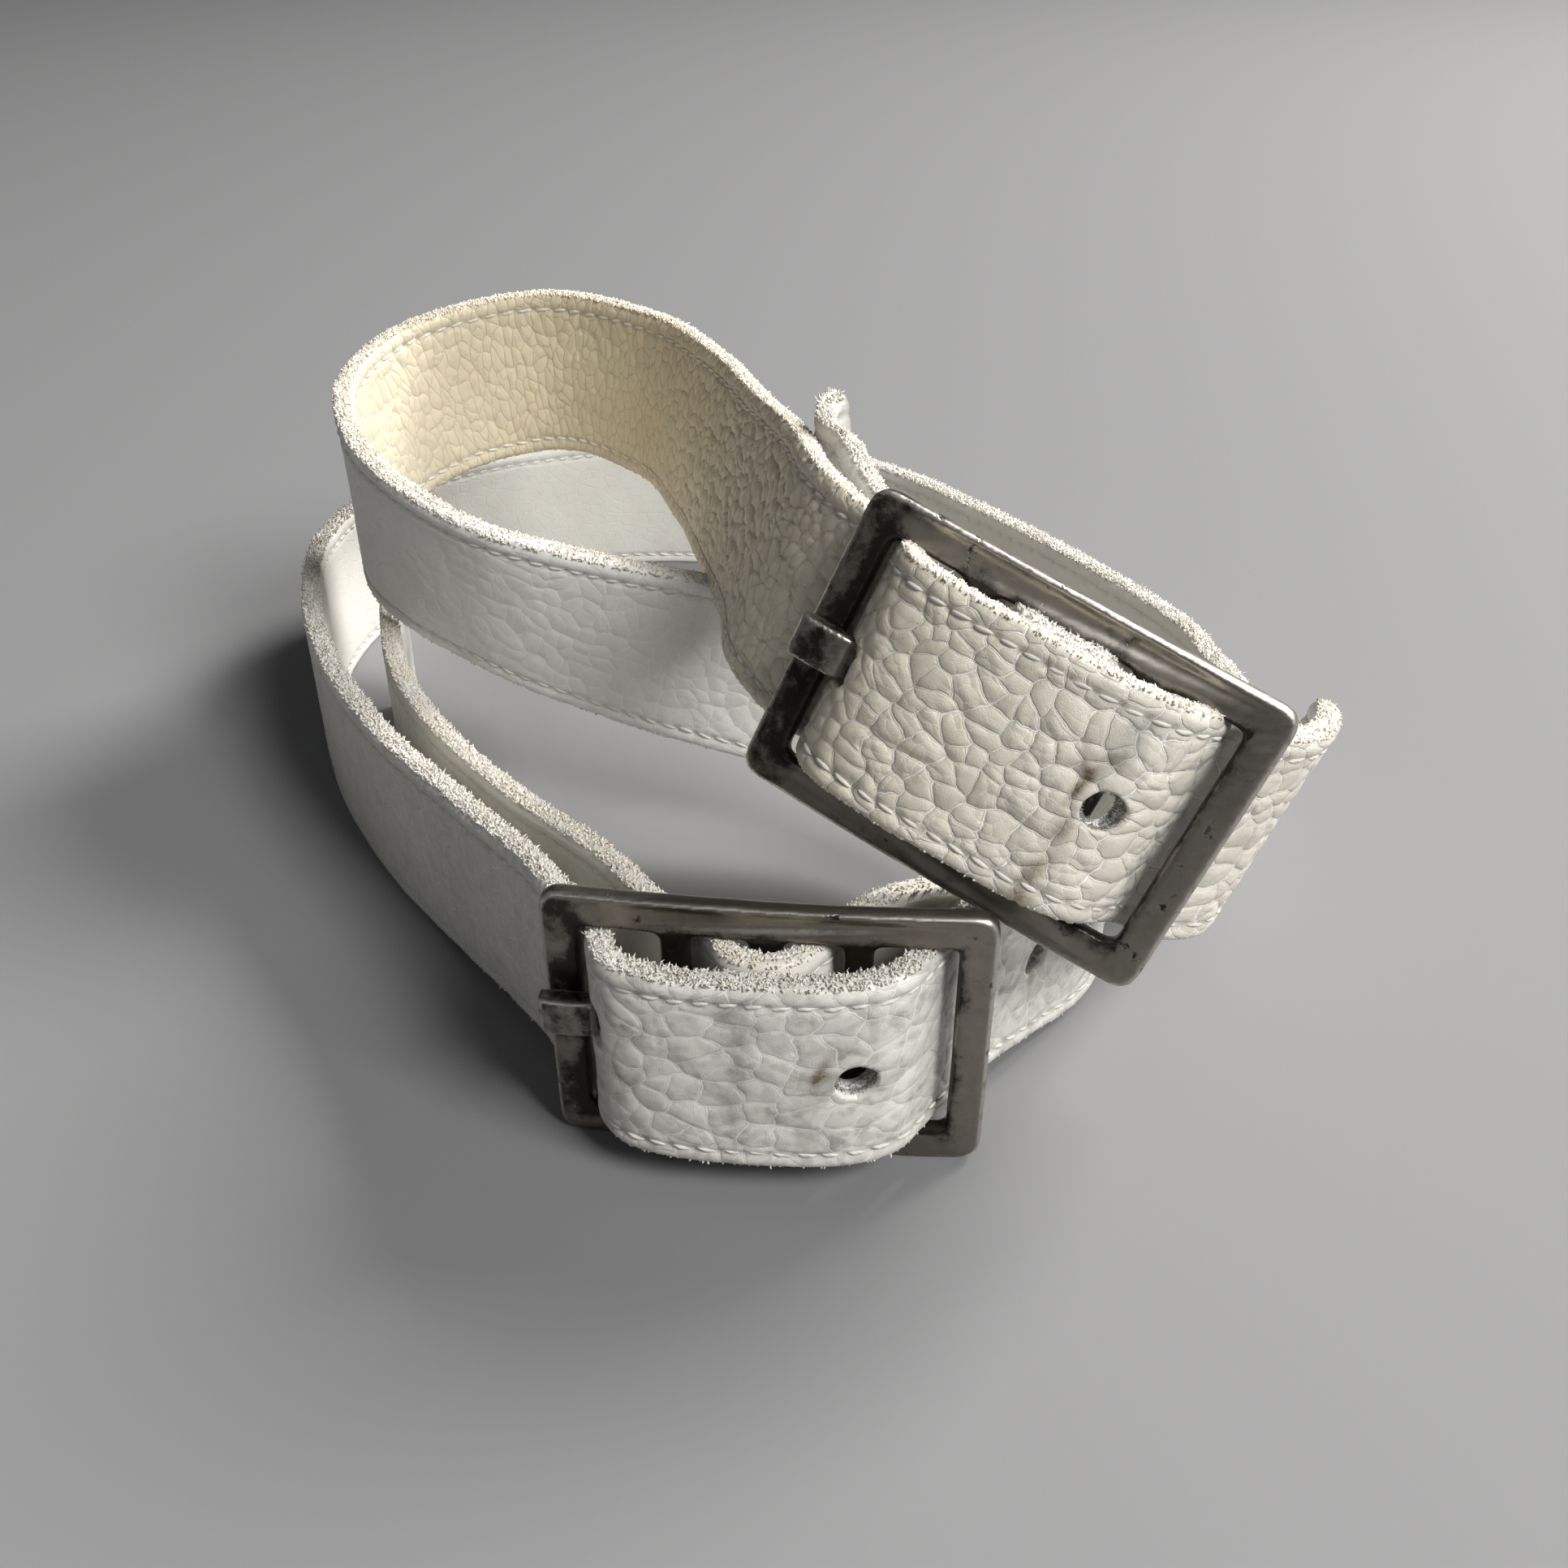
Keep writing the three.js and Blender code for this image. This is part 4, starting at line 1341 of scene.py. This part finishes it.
def ring_looks():
    """Pebbled outside, most clearly in front of the lower buckle; smooth lining."""
    front = RING.near(LOWER_BUCKLE, -18, LAYER_Y)
    face = {
        "grain": curve((front - 90, 0.5), (front - 60, 0.8), (front - 12, 0.8), (front + 6, 0.66)),
        "tone": curve((0, 0.15), (front, 0.15)),
        "dirt": curve((front - 30, 0.6), (front, 1.7)),
        "finer_along": curve(
            (front - 90, 1.9), (front - 60, 2.5), (front - 12, 2.0), (front + 6, 0.88),
        ),
        "finer_across": curve(
            (front - 90, 1.5), (front - 60, 0.65), (front - 12, 0.8), (front + 6, 0.95),
        ),
    }
    lining = {name: curve((0, 0.0)) for name in ("grain", "tone", "dirt")}
    lining.update({name: curve((0, 1.0)) for name in ("finer_along", "finer_across")})
    return {"face": face, "lining": lining}


def loop_marks():
    """A brown crease beside the hole, yellow spots below it, grey smudge marks above, and a
    painted shadow of the upper buckle's right bar across the strap.
    """
    u = front_hole(LOOP)
    stains = [
        (u - 4.0, 1.8, 2.6, 0.6, 82, 1.0), (u - 4.2, 4.0, 1.4, 0.6, 140, 0.9),
        (u - 3.4, -4.0, 2.2, 1.1, 80, 0.6), (u - 3.6, -10.5, 2.8, 1.2, 75, 0.7),
        (u - 3.5, -14.3, 1.8, 1.0, 0, 0.8), (u - 2.0, 7.0, 2.8, 1.0, 65, 0.4),
    ]
    smudges_and_shadows = [
        (u - 2.0, 7.0, 2.8, 1.4, 60, 0.5), (u - 1.8, 11.0, 2.4, 1.4, 50, 0.6),
        # Painted shadow of the upper buckle's right bar: a dark band across the strap.
        (u + 11.0, 0, 2.2, 60, 0, 0.6),
    ]
    return smudges_and_shadows, stains


def ring_marks():
    """Grey thumb marks left of the lower hole, a brown star beside it, and a painted shadow of the
    lower buckle's right bar across the strap.
    """
    u = front_hole(RING)
    smudges_and_shadows = [
        (u - 16, 12.2, 2.0, 1.3, 40, 0.5), (u - 14.5, 7.8, 3.0, 2.0, 70, 0.65),
        (u - 15, 1.6, 2.6, 1.8, 90, 0.65), (u - 16, -5.6, 2.4, 1.8, 90, 0.65),
        (u - 5, -9.0, 2.4, 1.6, 20, 0.3), (u - 2, 7.5, 3.0, 2.0, 80, 0.3),
        (u - 23, 4.0, 3.0, 1.6, 90, 0.25), (u + 4.5, 1.0, 2.4, 1.8, 0, 0.25),
        # Painted shadow of the lower buckle's right bar: a dark band across the strap.
        (u + 14.0, 0, 3.5, 60, 0, 0.7),
    ]
    stains = [
        (u - 4.6, 2.2, 2.8, 0.7, 70, 0.7), (u - 4.6, 1.4, 2.6, 0.9, 10, 0.6),
        (u - 5.4, -1.6, 2.0, 1.4, 60, 0.3),
        (u + HOLE_PITCH, -3.5, 2.6, 1.0, 80, 0.5),
    ]
    return smudges_and_shadows, stains


# Colours of each strap's raw edges, and how long their tufts are.
RAW_EDGES = {
    "loop_strap": {"light": (0.88, 0.83, 0.71, 1), "dark": (0.70, 0.63, 0.50, 1), "pile": 0.6},
    "ring_strap": {"light": (0.87, 0.85, 0.78, 1), "dark": (0.62, 0.57, 0.46, 1), "pile": 0.9},
}
# Colours inside the belt holes.
HOLE_WALL = ((0.36, 0.355, 0.34, 1), (0.10, 0.095, 0.09, 1))
# The stretch of a strap that is seen closely, from its crest over the centre post.
FINE_SPAN = (-36, 62)


def strap(name, route, poses, looks, leathers, marks, tree, order):
    """Both plies of a strap, the tufts on its raw edges and holes, and its stitches."""
    raw = RAW_EDGES[name]
    edge = raw_suede(f"{name}_raw_edge", raw["light"], raw["dark"])
    wall = raw_suede(f"{name}_hole_wall", *HOLE_WALL)
    over, under = poses
    crest = route.near(over, 0, CREST_Y)
    for side_name, side in (("face", 1), ("lining", -1)):
        node = f"{name}_{side_name}"
        fine = [(crest + FINE_SPAN[0], crest + FINE_SPAN[1])] if side > 0 else []
        holes = ply_holes(route, over, under, side)
        ply = PlyGrid(route, side, holes, fine, 10 * order + side + 5)
        piece = ply.build(f"{node}_leather")
        paint(piece, route, looks[side_name], *(marks if side > 0 else ([], [])))
        shape_leather(piece, tree)
        slot = "lining_leather" if side < 0 else "pebbled_leather"
        finish_piece(piece, slot, [leathers[side_name], edge, wall], node)
    fringe = edge_tufts(f"{name}_suede", route, raw["pile"], 30 + order)
    finish_piece(fringe, "pebbled_leather", [edge])
    rims = hole_tufts(f"{name}_hole_suede", route, 50 + order)
    finish_piece(rims, "pebbled_leather", [wall])
    seam = stitches(f"{name}_stitches", route, 40 + order)
    finish_piece(seam, "lining_leather", [thread(f"{name}_thread")])


def straps(tree):
    """Both straps: the loop strap has pebbled leather on both sides."""
    grain, lining = pebbled_leather(), lining_leather()
    strap(
        "loop_strap", LOOP, (UPPER_BUCKLE, LOWER_BUCKLE), loop_looks(),
        {"face": grain, "lining": grain}, loop_marks(), tree, 0,
    )
    strap(
        "ring_strap", RING, (LOWER_BUCKLE, UPPER_BUCKLE), ring_looks(),
        {"face": grain, "lining": lining}, ring_marks(), tree, 1,
    )


# How tarnished the frames and prongs are, and how much more on their left.
FRAME_TARNISH = 0.02
LEFT_BAR_TARNISH = {"lower": 0.50, "upper": 0.62}
PRONG_TARNISH = 0.6
PRONG_TIP_TARNISH = 0.5


def buckles():
    frame_look = antique_silver("frame_silver", (0.36, 0.33, 0.285, 1), (0.20, 0.18, 0.15, 1))
    prong_look = antique_silver("prong_silver", (0.52, 0.49, 0.44, 1), (0.24, 0.22, 0.19, 1))
    poses = {"lower": LOWER_BUCKLE, "upper": UPPER_BUCKLE}
    for seed, (name, pose) in enumerate(poses.items()):
        node = f"{name}_buckle_frame"
        casting = worn_casting(f"{name}_frame_casting", node, 11, 0.12, 60 + seed)
        tarnish(casting, pose, FRAME_TARNISH, LEFT_BAR_TARNISH[name], True)
        finish_piece(casting, "frame_silver", [frame_look], node)
        node = f"{name}_buckle_prong"
        tongue = worn_casting(f"{name}_prong_casting", node, 7, 0.05, 70 + seed)
        tarnish(tongue, pose, PRONG_TARNISH, PRONG_TIP_TARNISH, False)
        finish_piece(tongue, "prong_silver", [prong_look], node, body=f"{name}_prong")


camera()
lights()
floor()
straps(relief_tree())
buckles()
